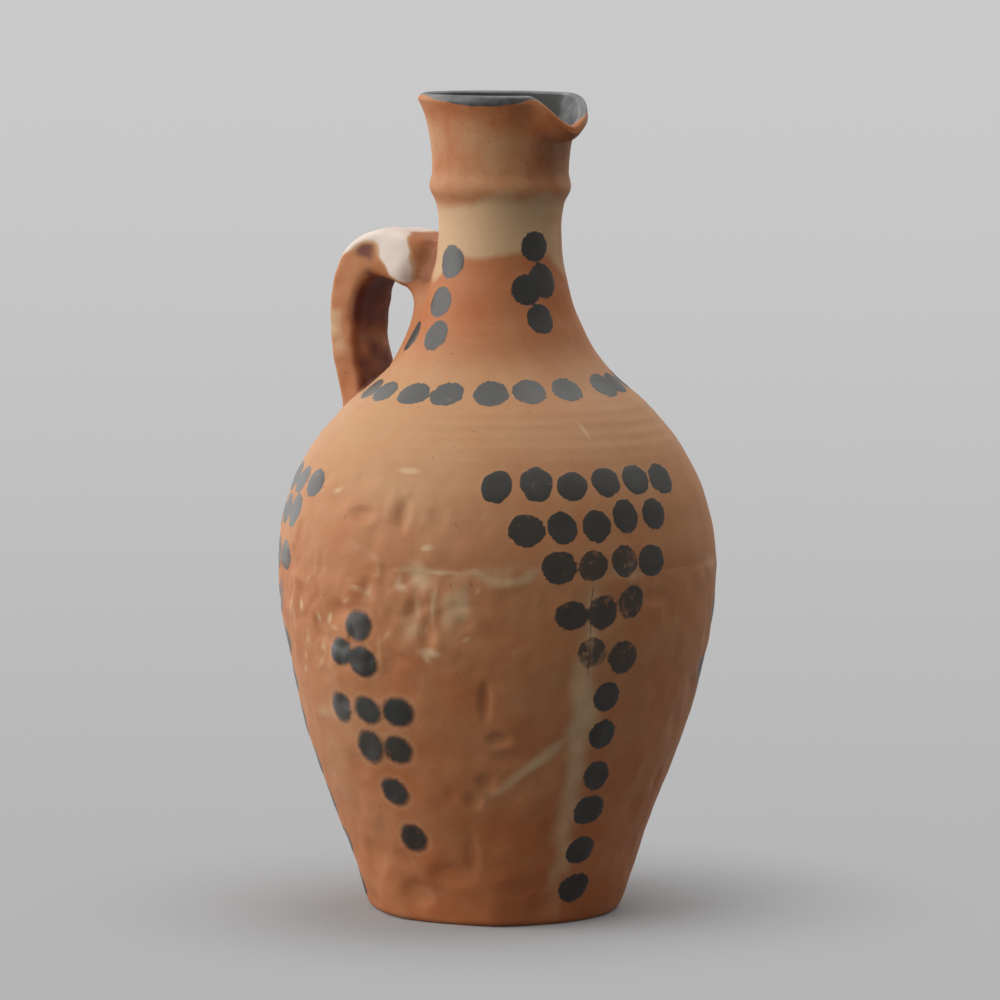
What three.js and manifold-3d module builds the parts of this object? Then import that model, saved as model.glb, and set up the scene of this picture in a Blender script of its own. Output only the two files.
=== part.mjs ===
// A hand-made clay jug: a paddled lower bowl, a thrown shoulder and neck, a mouth with a pinched
// pouring lip, and a pulled strap handle held by a wad of clay at each end.
// Millimetres, +Z up. The origin is the centre of the foot on the table. The spout points along +X,
// turned a little towards -Y, and the handle stands on the -X side.

import * as THREE from "three";
import { mergeVertices } from "three/addons/utils/BufferGeometryUtils.js";
import Module from "manifold-3d";

// Heights of the sections, stacked from the table up
const BELLY_HEIGHT = 136; // table to the belly's widest place
const SHOULDER_HEIGHT = 74; // belly's widest place to the neck seam
const NECK_HEIGHT = 57; // neck seam to the neck's narrowest place
const COLLAR_RISE = 26; // neck's narrowest place to the collar's
const FLARE_HEIGHT = 28; // collar's narrowest place to the top of the lip

// Outside radii
const FOOT_RADIUS = 49.2;
const BELLY_RADIUS = 86;
const NECK_SEAM_RADIUS = 46.5;
const WAIST_RADIUS = 24; // the neck's narrowest place
const COLLAR_RADIUS = 26.8; // the collar's narrowest place
const LIP_RADIUS = 32.3;

// Slopes of the outside, measured from upright, and how far each end of a curve runs straight on
const FOOT_LEAN = THREE.MathUtils.degToRad(13);
const SHOULDER_LEAN = THREE.MathUtils.degToRad(48);
const LIP_LEAN = THREE.MathUtils.degToRad(26);
const FOOT_RUN = 31;
const BELLY_RUN_BELOW = 53;
const BELLY_RUN_ABOVE = 46;
const SHOULDER_RUN = 10;
const NECK_RUN = 24;
const WAIST_RUN_BELOW = 12;
const WAIST_RUN_ABOVE = 10;
const COLLAR_RUN_BELOW = 10;
const COLLAR_RUN_ABOVE = 11;
const LIP_RUN = 6.5;

// Ridge ring at the foot of the mouth
const RIDGE_ABOVE_WAIST = 17.5;
const RIDGE_PROUD = 1.4;
const RIDGE_HALF_WIDTH = 6.5;
const RIDGE_SKIRT = 3; // how far the mouth reaches below the ridge's crest

// Walls
const WALL_FOOT = 9;
const WALL_BELLY = 7;
const WALL_NECK_SEAM = 6.5;
const WALL_WAIST = 5.5;
const WALL_COLLAR = 5;
const WALL_LIP = 4.2;
const FLOOR = 9;
const FOOT_ROUND = 2.5; // worn outer edge of the foot
const FLOOR_ROUND = 14; // inside corner between floor and wall

// Lap joints between the sections: a half-wall tongue in a rabbet, with a film of slip between
const BELLY_SEAM_RISE = 5; // belly seam above the belly's widest place
const LAP = 5;
const SLIP = 0.3;

// Pouring lip pinched into the mouth, a little off the handle's plane and steeper on that side
const SPOUT_TURN = THREE.MathUtils.degToRad(-8);
const SPOUT_STEEP_ANGLE = THREE.MathUtils.degToRad(30); // from its middle to the level lip
const SPOUT_EASY_ANGLE = THREE.MathUtils.degToRad(60); // the same on the other side
const SPOUT_REACH = 4.2; // drawn out past the lip
const SPOUT_DIP = 10.5; // drawn down below the lip
const SPOUT_DEPTH = 22; // how far below the lip the wall is drawn
const SPOUT_ROLL = 3; // how far below the lip it is drawn in full
const PINCH_HALF_ANGLE = THREE.MathUtils.degToRad(16); // finger marks beside the spout
const PINCH_DEPTH = 22;
const PINCH_INWARD = 1.2;

// Strap handle: its middle line leaves the neck, rises to a crest and drops to the shoulder
const HANDLE_WIDTH = 28;
const HANDLE_ROOT_WIDTH = 21; // at the neck, where the sides are pressed in
const HANDLE_ROOT_RUN = 14; // how far from the neck the strap has its full width
const HANDLE_THICKNESS = 12.5;
const HANDLE_ROOT_THICKNESS = 21; // at the neck, thickened on its underside
const HANDLE_TAPER = 80; // how far from the neck the thickening dies out
const HANDLE_ROOT_DROP = 12; // root on the neck, below the neck's narrowest place
const HANDLE_REACH = 66; // pot's axis to the middle of the strap at its widest
const HANDLE_WIDEST_DROP = 23; // widest place, below the root
const HANDLE_LEAVE_RUN = 22; // how far it follows its first slope
const HANDLE_LEAVE_RISE = THREE.MathUtils.degToRad(26);
const HANDLE_BEND_RUN = 32.5; // how far it runs straight down to its widest place
const HANDLE_LIMB_RUN = 14; // how far it runs straight down from there
const HANDLE_FOOT_INSET = 5.8; // how much nearer the axis it meets the shoulder
const HANDLE_FOOT_RUN = 14;
const HANDLE_EMBED = 13; // end of the middle line, inside the pot's surface
const HANDLE_SQUARENESS = 5; // exponent of the strap's section: 2 is an ellipse

// Wads of clay worked round the handle's ends: how far they stand off it at the pot
const WAD_EDGE = 0.9; // where a wad ends on the strap
const WAD_SQUARENESS = 2.5; // section at the pot
const UPPER_WAD_LENGTH = 10;
const UPPER_WAD_SIDE = 2.2;
const UPPER_WAD_OVER = 2;
const UPPER_WAD_UNDER = 4;
const LOWER_WAD_LENGTH = 10;
const LOWER_WAD_SIDE = 2.2;
const LOWER_WAD_OVER = 1.5;
const LOWER_WAD_UNDER = 6.5;

// Tail of the upper wad, smeared down the neck by the thumb
const TAIL_LENGTH = 44; // down the neck from the handle's root
const TAIL_WIDTH = 27;
const TAIL_END_WIDTH = 16;
const TAIL_PROUD = 10; // at the handle's root
const TAIL_END_PROUD = 2;
const TAIL_SQUARENESS = 2.2;

// Facets
const FACETS = 48; // round the pot
const MOUTH_FACETS = 72;
const OUTSIDE_STEP = 10; // longest step up the outside
const INSIDE_STEP = 16;
const MOUTH_OUTSIDE_STEP = 3.5;
const MOUTH_INSIDE_STEP = 6;
const CUTTER_STEP = 4;
const ROUND_STEPS = 3; // along a rounded edge
const LIP_STEPS = 5;
const STRAP_SIDES = 20;
const STRAP_STEP = 5;
const WAD_STEP = 3.5;
const SEARCH_STEPS = 400; // places tried when a height or radius is looked up on the outline

const WELD_DISTANCE = 1e-4; // vertices closer than this are one

// Finish
const CLAY = "#b9764c";
const PALE_CLAY = "#c08a62";
const CLAY_ROUGHNESS = 0.75;

const wasm = await Module();
wasm.setup();

// Outline of the outside, without the ridge, as (radius, height) from the foot up

const waistHeight = BELLY_HEIGHT + SHOULDER_HEIGHT + NECK_HEIGHT;
const collarHeight = waistHeight + COLLAR_RISE;
const topHeight = collarHeight + FLARE_HEIGHT;

function curve(start, startLean, startRun, end, endLean, endRun) {
  const leave = new THREE.Vector2(Math.sin(startLean), Math.cos(startLean)).multiplyScalar(startRun);
  const arrive = new THREE.Vector2(Math.sin(endLean), Math.cos(endLean)).multiplyScalar(endRun);
  return new THREE.CubicBezierCurve(start, start.clone().add(leave), end.clone().sub(arrive), end);
}

const footEdge = new THREE.Vector2(FOOT_RADIUS, 0);
const belly = new THREE.Vector2(BELLY_RADIUS, BELLY_HEIGHT);
const neckSeam = new THREE.Vector2(NECK_SEAM_RADIUS, BELLY_HEIGHT + SHOULDER_HEIGHT);
const waist = new THREE.Vector2(WAIST_RADIUS, waistHeight);
const collar = new THREE.Vector2(COLLAR_RADIUS, collarHeight);
const lip = new THREE.Vector2(
  LIP_RADIUS - (WALL_LIP / 2) * (1 - Math.cos(LIP_LEAN)),
  topHeight - (WALL_LIP / 2) * (1 + Math.sin(LIP_LEAN)),
);

const outline = new THREE.CurvePath();
outline.add(curve(footEdge, FOOT_LEAN, FOOT_RUN, belly, 0, BELLY_RUN_BELOW));
outline.add(curve(belly, 0, BELLY_RUN_ABOVE, neckSeam, -SHOULDER_LEAN, SHOULDER_RUN));
outline.add(curve(neckSeam, -SHOULDER_LEAN, NECK_RUN, waist, 0, WAIST_RUN_BELOW));
outline.add(curve(waist, 0, WAIST_RUN_ABOVE, collar, 0, COLLAR_RUN_BELOW));
outline.add(curve(collar, 0, COLLAR_RUN_ABOVE, lip, LIP_LEAN, LIP_RUN));

// Places along the outline, as lengths from the foot's edge
const [bellyAt, neckSeamAt, waistAt, collarAt, lipAt] = outline.getCurveLengths();
const bellySeamAt = bellyAt + BELLY_SEAM_RISE;
const ridgeAt = waistAt + RIDGE_ABOVE_WAIST;
const mouthSeamAt = ridgeAt - RIDGE_SKIRT;

const wallStops = [
  [0, WALL_FOOT],
  [bellyAt, WALL_BELLY],
  [neckSeamAt, WALL_NECK_SEAM],
  [waistAt, WALL_WAIST],
  [collarAt, WALL_COLLAR],
  [lipAt, WALL_LIP],
];

function wallAt(length) {
  const next = Math.max(1, wallStops.findIndex(([stop]) => stop >= length));
  const [fromLength, fromWall] = wallStops[next - 1];
  const [toLength, toWall] = wallStops[next];
  return THREE.MathUtils.mapLinear(length, fromLength, toLength, fromWall, toWall);
}

function outlineFrame(length) {
  const share = THREE.MathUtils.clamp(length / lipAt, 0, 1);
  const point = outline.getPoint(share);
  const along = outline.getTangent(share);
  const outward = new THREE.Vector2(along.y, -along.x);
  return { point, along, outward };
}

function wallPoint(length, depth) {
  const { point, outward } = outlineFrame(length);
  return point.addScaledVector(outward, -depth);
}

function ridgeProud(length) {
  const offset = Math.min(1, Math.abs(length - ridgeAt) / RIDGE_HALF_WIDTH);
  return (RIDGE_PROUD * (1 + Math.cos(Math.PI * offset))) / 2;
}

function outerPoint(length, grow = 0) {
  return wallPoint(length, -ridgeProud(length) - grow);
}

function innerPoint(length) {
  return wallPoint(length, wallAt(length));
}

function pointsAlong(from, to, longestStep, pointAt) {
  const steps = Math.max(1, Math.ceil(Math.abs(to - from) / longestStep));
  const points = [];
  for (let i = 0; i <= steps; i += 1) {
    points.push(pointAt(THREE.MathUtils.lerp(from, to, i / steps)));
  }
  return points;
}

function roundedCorner(from, corner, to) {
  return new THREE.QuadraticBezierCurve(from, corner, to).getPoints(ROUND_STEPS);
}

// First place up the outline, from one length to another, where a test holds

function findAlong(from, to, test) {
  for (let i = 0; i <= SEARCH_STEPS; i += 1) {
    const length = THREE.MathUtils.lerp(from, to, i / SEARCH_STEPS);
    if (test(length)) {
      return length;
    }
  }
  throw new Error("no such place on the outline");
}

// Lap joint between two sections, from the outside in. The section below ends in the tongue, and
// the section above is cut back from it by the film of slip.

function tongue(seam) {
  const depth = (wallAt(seam) + SLIP) / 2;
  return [wallPoint(seam, depth), wallPoint(seam + LAP, depth)];
}

function rabbet(seam) {
  const depth = (wallAt(seam) - SLIP) / 2;
  return [wallPoint(seam + SLIP, depth), wallPoint(seam + LAP + SLIP, depth)];
}

// Closed profiles of the four sections, up the outside and down the inside

function lowerProfile() {
  const cornerAt = findAlong(0, bellyAt, (length) => innerPoint(length).y >= FLOOR + FLOOR_ROUND);
  const wallFoot = innerPoint(cornerAt);
  return [
    new THREE.Vector2(0, 0),
    ...roundedCorner(new THREE.Vector2(FOOT_RADIUS - FOOT_ROUND, 0), footEdge, outerPoint(FOOT_ROUND)),
    ...pointsAlong(FOOT_ROUND, bellyAt, OUTSIDE_STEP, outerPoint).slice(1),
    ...pointsAlong(bellyAt, bellySeamAt, OUTSIDE_STEP, outerPoint).slice(1),
    ...tongue(bellySeamAt),
    ...pointsAlong(bellySeamAt + LAP, cornerAt, INSIDE_STEP, innerPoint),
    ...roundedCorner(
      wallFoot,
      new THREE.Vector2(wallFoot.x, FLOOR),
      new THREE.Vector2(wallFoot.x - FLOOR_ROUND, FLOOR),
    ).slice(1),
    new THREE.Vector2(0, FLOOR),
  ];
}

function ringProfile(seamBelow, seamAbove) {
  return [
    ...pointsAlong(seamBelow + SLIP, seamAbove, OUTSIDE_STEP, outerPoint),
    ...tongue(seamAbove),
    ...pointsAlong(seamAbove + LAP, seamBelow + LAP + SLIP, INSIDE_STEP, innerPoint),
    ...rabbet(seamBelow).reverse(),
    outerPoint(seamBelow + SLIP),
  ];
}

function mouthProfile() {
  const { along, outward } = outlineFrame(lipAt);
  const middle = wallPoint(lipAt, WALL_LIP / 2);
  const rounding = [];
  for (let i = 1; i < LIP_STEPS; i += 1) {
    const turn = (Math.PI * i) / LIP_STEPS;
    const point = middle.clone();
    point.addScaledVector(outward, (WALL_LIP / 2) * Math.cos(turn));
    point.addScaledVector(along, (WALL_LIP / 2) * Math.sin(turn));
    rounding.push(point);
  }
  return [
    ...pointsAlong(mouthSeamAt + SLIP, lipAt, MOUTH_OUTSIDE_STEP, outerPoint),
    ...rounding,
    ...pointsAlong(lipAt, mouthSeamAt + LAP + SLIP, MOUTH_INSIDE_STEP, innerPoint),
    ...rabbet(mouthSeamAt).reverse(),
    outerPoint(mouthSeamAt + SLIP),
  ];
}

// Solids

function bare(geometry) {
  geometry.deleteAttribute("normal");
  geometry.deleteAttribute("uv");
  return mergeVertices(geometry, WELD_DISTANCE);
}

function revolve(profile, facets) {
  const geometry = new THREE.LatheGeometry(profile, facets);
  return bare(geometry.rotateX(Math.PI / 2));
}

function toSolid(geometry) {
  const vertProperties = new Float32Array(geometry.attributes.position.array);
  const triVerts = new Uint32Array(geometry.index.array);
  return new wasm.Manifold(new wasm.Mesh({ numProp: 3, vertProperties, triVerts }));
}

function toGeometry(solid) {
  const mesh = solid.getMesh();
  const geometry = new THREE.BufferGeometry();
  geometry.setAttribute("position", new THREE.BufferAttribute(mesh.vertProperties, 3));
  geometry.setIndex(new THREE.BufferAttribute(mesh.triVerts, 1));
  return geometry;
}

// The whole pot as one lump without its hollow, grown by the film of slip: it cuts what is luted on

function potLump() {
  const side = pointsAlong(0, lipAt, CUTTER_STEP, (length) => outerPoint(length, SLIP));
  const foot = new THREE.Vector2(0, side[0].y);
  const top = new THREE.Vector2(0, side[side.length - 1].y);
  return toSolid(revolve([foot, ...side, top], FACETS));
}

// The potter's fingers draw the lip out and down over the spout, and press in the wall beside it

function swell(share) {
  return (1 + Math.cos(Math.PI * THREE.MathUtils.clamp(share, -1, 1))) / 2;
}

function pinchSpout(geometry) {
  const position = geometry.attributes.position;
  const point = new THREE.Vector3();
  for (let i = 0; i < position.count; i += 1) {
    point.fromBufferAttribute(position, i);
    const turned = Math.atan2(point.y, point.x) - SPOUT_TURN + Math.PI;
    const angle = THREE.MathUtils.euclideanModulo(turned, 2 * Math.PI) - Math.PI;
    const spread = angle < 0 ? SPOUT_STEEP_ANGLE : SPOUT_EASY_ANGLE;
    const rise = THREE.MathUtils.smoothstep(point.z, topHeight - SPOUT_DEPTH, topHeight - SPOUT_ROLL);
    const drawn = swell(angle / spread) * rise;
    const marked = THREE.MathUtils.smoothstep(point.z, topHeight - PINCH_DEPTH, topHeight);
    const pressed = swell((Math.abs(angle) - spread) / PINCH_HALF_ANGLE) * marked;
    const radius = Math.hypot(point.x, point.y);
    const newRadius = radius + SPOUT_REACH * drawn - PINCH_INWARD * pressed;
    const stretch = newRadius / radius;
    position.setXYZ(i, point.x * stretch, point.y * stretch, point.z - SPOUT_DIP * drawn);
  }
  return geometry;
}

// Middle line of the handle in the plane of the spout, from inside the neck to inside the shoulder

function inPlane(radius, height) {
  return new THREE.Vector3(-radius, 0, height);
}

const rootHeight = waistHeight - HANDLE_ROOT_DROP;
const rootAt = findAlong(neckSeamAt, lipAt, (length) => outerPoint(length).y >= rootHeight);

function handleLine() {
  const footRadius = HANDLE_REACH - HANDLE_FOOT_INSET;
  const footAt = findAlong(bellyAt, waistAt, (length) => outerPoint(length).x <= footRadius);

  const start = inPlane(outerPoint(rootAt).x - HANDLE_EMBED, rootHeight);
  const root = inPlane(outerPoint(rootAt).x, rootHeight);
  const widest = inPlane(HANDLE_REACH, rootHeight - HANDLE_WIDEST_DROP);
  const foot = inPlane(footRadius, outerPoint(footAt).y);
  const leave = inPlane(Math.cos(HANDLE_LEAVE_RISE), Math.sin(HANDLE_LEAVE_RISE));
  const settle = inPlane(-HANDLE_FOOT_INSET, foot.z - widest.z).normalize();
  const end = foot.clone().addScaledVector(settle, HANDLE_EMBED);
  const up = new THREE.Vector3(0, 0, 1);

  const line = new THREE.CurvePath();
  line.add(new THREE.LineCurve3(start, root));
  line.add(
    new THREE.CubicBezierCurve3(
      root,
      root.clone().addScaledVector(leave, HANDLE_LEAVE_RUN),
      widest.clone().addScaledVector(up, HANDLE_BEND_RUN),
      widest,
    ),
  );
  line.add(
    new THREE.CubicBezierCurve3(
      widest,
      widest.clone().addScaledVector(up, -HANDLE_LIMB_RUN),
      foot.clone().addScaledVector(settle, -HANDLE_FOOT_RUN),
      foot,
    ),
  );
  line.add(new THREE.LineCurve3(foot, end));
  return line;
}

// Clay drawn along a line between two lengths. At each place its rounded section stands off the line
// by the half sizes given, and the larger its squareness, the sharper its corners.

function drawAlong(line, from, to, longestStep, sectionAt) {
  const circle = new THREE.Shape(new THREE.EllipseCurve(0, 0, 1, 1).getPoints(STRAP_SIDES).slice(1));
  const steps = Math.ceil((to - from) / longestStep);
  const geometry = new THREE.ExtrudeGeometry(circle, { depth: 1, steps, bevelEnabled: false });
  const position = geometry.attributes.position;
  const total = line.getLength();
  for (let i = 0; i < position.count; i += 1) {
    const place = THREE.MathUtils.lerp(from, to, position.getZ(i));
    const middle = line.getPoint(place / total);
    const along = line.getTangent(place / total);
    const { side, over, under, squareness } = sectionAt(place);
    const square = (value) => Math.sign(value) * Math.abs(value) ** (2 / squareness);
    const across = -square(position.getX(i)) * side;
    const up = square(position.getY(i)) * (position.getY(i) > 0 ? over : under);
    position.setXYZ(i, middle.x + along.z * up, across, middle.z - along.x * up);
  }
  return toSolid(bare(geometry));
}

function strapSection(grow) {
  const half = HANDLE_THICKNESS / 2;
  return (place) => {
    const thinned = THREE.MathUtils.smoothstep(place, HANDLE_EMBED, HANDLE_EMBED + HANDLE_TAPER);
    const under = THREE.MathUtils.lerp(HANDLE_ROOT_THICKNESS - half, half, thinned);
    const widened = THREE.MathUtils.smoothstep(place, HANDLE_EMBED, HANDLE_EMBED + HANDLE_ROOT_RUN);
    return {
      side: THREE.MathUtils.lerp(HANDLE_ROOT_WIDTH, HANDLE_WIDTH, widened) / 2 + grow,
      over: half + grow,
      under: under + grow,
      squareness: HANDLE_SQUARENESS,
    };
  };
}

// A wad is thickest at the pot and thins out hollowly along the strap

function wadSection(distanceFromPot, length, most) {
  return (place) => {
    const left = 1 - THREE.MathUtils.clamp(distanceFromPot(place) / length, 0, 1);
    const strapThere = strapSection(WAD_EDGE)(place);
    const standOff = (way) => strapThere[way] + (most[way] - WAD_EDGE) * left * left;
    return {
      side: standOff("side"),
      over: standOff("over"),
      under: standOff("under"),
      squareness: THREE.MathUtils.lerp(HANDLE_SQUARENESS, WAD_SQUARENESS, left),
    };
  };
}

const pot = potLump();
const strapLine = handleLine();
const strapLength = strapLine.getLength();
const strap = drawAlong(strapLine, 0, strapLength, STRAP_STEP, strapSection(0));
const strapCutter = drawAlong(strapLine, 0, strapLength, STRAP_STEP, strapSection(SLIP));

function wadTail() {
  const toPlane = (length) => inPlane(outerPoint(length).x, outerPoint(length).y);
  const line = new THREE.CurvePath();
  line.add(new THREE.CatmullRomCurve3(pointsAlong(rootAt, rootAt - TAIL_LENGTH, WAD_STEP, toPlane)));
  return drawAlong(line, 0, line.getLength(), WAD_STEP, (place) => {
    const share = place / line.getLength();
    return {
      side: THREE.MathUtils.lerp(TAIL_WIDTH, TAIL_END_WIDTH, share) / 2,
      over: THREE.MathUtils.lerp(TAIL_PROUD, TAIL_END_PROUD, share),
      under: WALL_WAIST,
      squareness: TAIL_SQUARENESS,
    };
  });
}

function upperWad() {
  const fromNeck = (place) => place - HANDLE_EMBED;
  const most = { side: UPPER_WAD_SIDE, over: UPPER_WAD_OVER, under: UPPER_WAD_UNDER };
  const section = wadSection(fromNeck, UPPER_WAD_LENGTH, most);
  const ring = drawAlong(strapLine, 0, HANDLE_EMBED + UPPER_WAD_LENGTH, WAD_STEP, section);
  return toGeometry(ring.add(wadTail()).subtract(strapCutter).subtract(pot));
}

function lowerWad() {
  const fromShoulder = (place) => strapLength - HANDLE_EMBED - place;
  const most = { side: LOWER_WAD_SIDE, over: LOWER_WAD_OVER, under: LOWER_WAD_UNDER };
  const section = wadSection(fromShoulder, LOWER_WAD_LENGTH, most);
  const start = strapLength - HANDLE_EMBED - LOWER_WAD_LENGTH;
  const ring = drawAlong(strapLine, start, strapLength, WAD_STEP, section);
  return toGeometry(ring.subtract(strapCutter).subtract(pot));
}

// Assembly

const jug = new THREE.Group();
jug.name = "clay_jug";

function addPiece(name, geometry, color) {
  geometry.computeVertexNormals();
  const material = new THREE.MeshStandardMaterial({ color, roughness: CLAY_ROUGHNESS, metalness: 0 });
  const mesh = new THREE.Mesh(geometry, material);
  mesh.name = name;
  jug.add(mesh);
}

addPiece("lower_body", revolve(lowerProfile(), FACETS), CLAY);
addPiece("upper_body", revolve(ringProfile(bellySeamAt, neckSeamAt), FACETS), CLAY);
addPiece("neck", revolve(ringProfile(neckSeamAt, mouthSeamAt), FACETS), PALE_CLAY);
addPiece("mouth", pinchSpout(revolve(mouthProfile(), MOUTH_FACETS)), CLAY);
addPiece("handle", toGeometry(strap.subtract(pot)), PALE_CLAY);
addPiece("upper_handle_wad", upperWad(), PALE_CLAY);
addPiece("lower_handle_wad", lowerWad(), CLAY);

export default jug;
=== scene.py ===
"""A hand-made clay jug with finger dots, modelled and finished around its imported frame.

Metres, +Z up. The origin is the centre of the foot, the spout points along +X and the handle stands on
the -X side. Angles round the pot are measured from the spout, and places up its wall along the clay
from the edge of the foot.
"""

import bisect
import math
import random
from collections import namedtuple

import bmesh
import bpy
from bpy.props import FloatProperty, FloatVectorProperty, PointerProperty
from mathutils import Matrix, Vector, geometry, kdtree, noise


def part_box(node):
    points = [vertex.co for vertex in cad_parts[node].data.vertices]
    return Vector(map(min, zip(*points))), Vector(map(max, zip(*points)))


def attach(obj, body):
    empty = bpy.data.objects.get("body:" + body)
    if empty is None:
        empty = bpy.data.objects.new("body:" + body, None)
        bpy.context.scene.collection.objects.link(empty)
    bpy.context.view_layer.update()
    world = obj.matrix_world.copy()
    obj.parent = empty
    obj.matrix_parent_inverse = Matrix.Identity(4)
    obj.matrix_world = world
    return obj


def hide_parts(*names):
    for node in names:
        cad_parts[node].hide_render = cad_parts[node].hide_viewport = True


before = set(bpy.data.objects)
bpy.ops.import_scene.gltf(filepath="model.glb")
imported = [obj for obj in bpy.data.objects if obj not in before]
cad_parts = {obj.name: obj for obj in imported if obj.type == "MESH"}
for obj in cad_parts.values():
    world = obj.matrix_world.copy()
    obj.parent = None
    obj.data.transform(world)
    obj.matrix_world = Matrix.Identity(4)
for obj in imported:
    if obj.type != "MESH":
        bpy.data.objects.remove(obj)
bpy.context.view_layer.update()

bl_info = {
    "name": "Clay jug",
    "version": (1, 0, 0),
    "blender": (4, 5, 0),
    "location": "3D View > Sidebar > Jug",
    "description": "Builds a clay jug with finger dots, a pinched lip and a pulled handle",
    "category": "Object",
}

# Slopes of the outside, measured from upright, and how far each end of a curve runs straight on
FOOT_LEAN = math.radians(13)
SHOULDER_LEAN = math.radians(48)
LIP_LEAN = math.radians(26)
FOOT_RUN = 0.031
BELLY_RUN_BELOW = 0.053
BELLY_RUN_ABOVE = 0.046
SHOULDER_RUN = 0.010
NECK_RUN = 0.024
WAIST_RUN_BELOW = 0.012
WAIST_RUN_ABOVE = 0.010
COLLAR_RUN_BELOW = 0.010
COLLAR_RUN_ABOVE = 0.011
LIP_RUN = 0.0065
SPAN_POINTS = 160

# Ridge ring at the foot of the mouth
RIDGE_ABOVE_WAIST = 0.0175
RIDGE_PROUD = 0.0014
RIDGE_HALF_WIDTH = 0.0065
RIDGE_SKIRT = 0.003

# Walls
WALL_FOOT = 0.009
WALL_BELLY = 0.007
WALL_NECK_SEAM = 0.0065
WALL_WAIST = 0.0055
WALL_COLLAR = 0.005
WALL_LIP = 0.0042
FLOOR = 0.009
FOOT_ROUND = 0.0025
FLOOR_ROUND = 0.014
BELLY_SEAM_RISE = 0.005

# Spout, pinched a little to one side of the handle's plane: steep on that side and easy on the other
SPOUT_TURN = math.radians(-8)
SPOUT_STEEP_ANGLE = math.radians(30)
SPOUT_EASY_ANGLE = math.radians(60)
SPOUT_DEPTH = 0.022
SPOUT_ROLL = 0.003
PINCH_HALF_ANGLE = math.radians(16)
PINCH_DEPTH = 0.022
PINCH_INWARD = 0.0012
SPOUT_CREASE = 0.0011
SPOUT_CREASE_ANGLE = math.radians(13)
SPOUT_FOLD = 0.0012

# Slip round the spout: painted shade on the slip inside the mouth, lighter in the channel, and the worn edge
# of the slip on the lip
CHANNEL_ANGLE = math.radians(58)
CHANNEL_EDGE = math.radians(9)
CHANNEL_SHADE = 0.35
WORN_ANGLE = math.radians(-18)
WORN_SPREAD = math.radians(48)

# Handle
HANDLE_TAPER = 0.080
HANDLE_ROOT_WIDTH = 0.021
HANDLE_ROOT_RUN = 0.014
HANDLE_ROOT_DROP = 0.012
HANDLE_WIDEST_DROP = 0.023
HANDLE_LEAVE_RUN = 0.022
HANDLE_LEAVE_RISE = math.radians(26)
HANDLE_BEND_RUN = 0.0325
HANDLE_LIMB_RUN = 0.014
HANDLE_FOOT_INSET = 0.0058
HANDLE_FOOT_RUN = 0.014
HANDLE_EMBED = 0.013
HANDLE_SQUARENESS = 5
HANDLE_SINK = 0.002

# Mesh steps, and the marks kept on vertices
STEPS_ROUND = 400
OUTSIDE_STEP = 0.00125
INSIDE_STEP = 0.003
MOUTH_STEP = 0.0009
LIP_STEPS = 10
CORNER_STEPS = 6
STRAP_SIDES = 72
STRAP_STEP = 0.0009
STRAP_FOOT_STEP = 0.000125
WAD_STEPS_ROUND = 128
WAD_STEPS = 40
WAD_SHOWN = 0.75
WELD_DISTANCE = 1e-6
MARKS = ("dot", "wear", "bleed", "pale", "dark", "worn", "inside_shade", "fire_and_shade", "crack", "strap")
SHARP_ANGLE = math.radians(38)
CORNER_FULLNESS = 0.62
SEAM_SHARES = (0.35, 0.7)
MEETING_TRIES = 30
MILLIMETRES = 1000

# Unevenness of the clay: how deep its bumps are, and how close together
Grain = namedtuple("Grain", "depth scale")
BODY_GRAINS = (Grain(0.0006, 15.0), Grain(0.00028, 48.0))
FOOT_GRAINS = (Grain(0.0013, 36.0), Grain(0.0006, 95.0))
STRAP_GRAINS = (Grain(0.0011, 60.0), Grain(0.0007, 150.0))
WAD_GRAINS = (Grain(0.0005, 70.0),)
FOOT_UNEVEN = (0.006, 0.035)
THROWN_UNEVEN = 0.75

# Throwing above the belly seam: where it takes over from the paddle, fine rings on the shoulder, broad rings
# all the way up, rings inside, and the ledge and groove at the seam
THROWN_ABOVE_SEAM = (-0.004, 0.006)
WANDER_SCALE = 9.0
RINGS_PITCH = 0.0056
RINGS_WANDER = 5.0
RINGS_MIDDLE = 0.2065
RINGS_HALF_SPAN = 0.024
RINGS_PATCHES = (-0.35, 0.25)
BROAD_RINGS_PITCH = 0.0190
BROAD_RINGS_WANDER = 2.0
BROAD_RINGS_DEPTH = 0.00010
INSIDE_RINGS_PITCH = 0.008
INSIDE_RINGS_DEPTH = 0.0003
INSIDE_RINGS_RADIUS = 0.01
SEAM_LEDGE = 0.00008
SEAM_GROOVE = 0.00020
SEAM_GROOVE_HALF_WIDTH = 0.0026
SEAM_GROOVE_PATCHES = (-0.1, 0.35)

# Paddling below the seam, in shares of the paddle depth, with creases on the side worked most
PADDLE = Grain(0.75, 38.0)
PADDLE_OCTAVES = (1.0, 2.0, 3)
PADDLE_FINE_GRAINS = (Grain(0.45, 105.0),)
WORKED_GRAINS = (Grain(0.6, 170.0), Grain(0.6, 90.0))
CREASE = Grain(0.40, 62.0)
CREASE_EDGE = 0.15
PADDLE_LOST_ABOVE = 0.5

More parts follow.
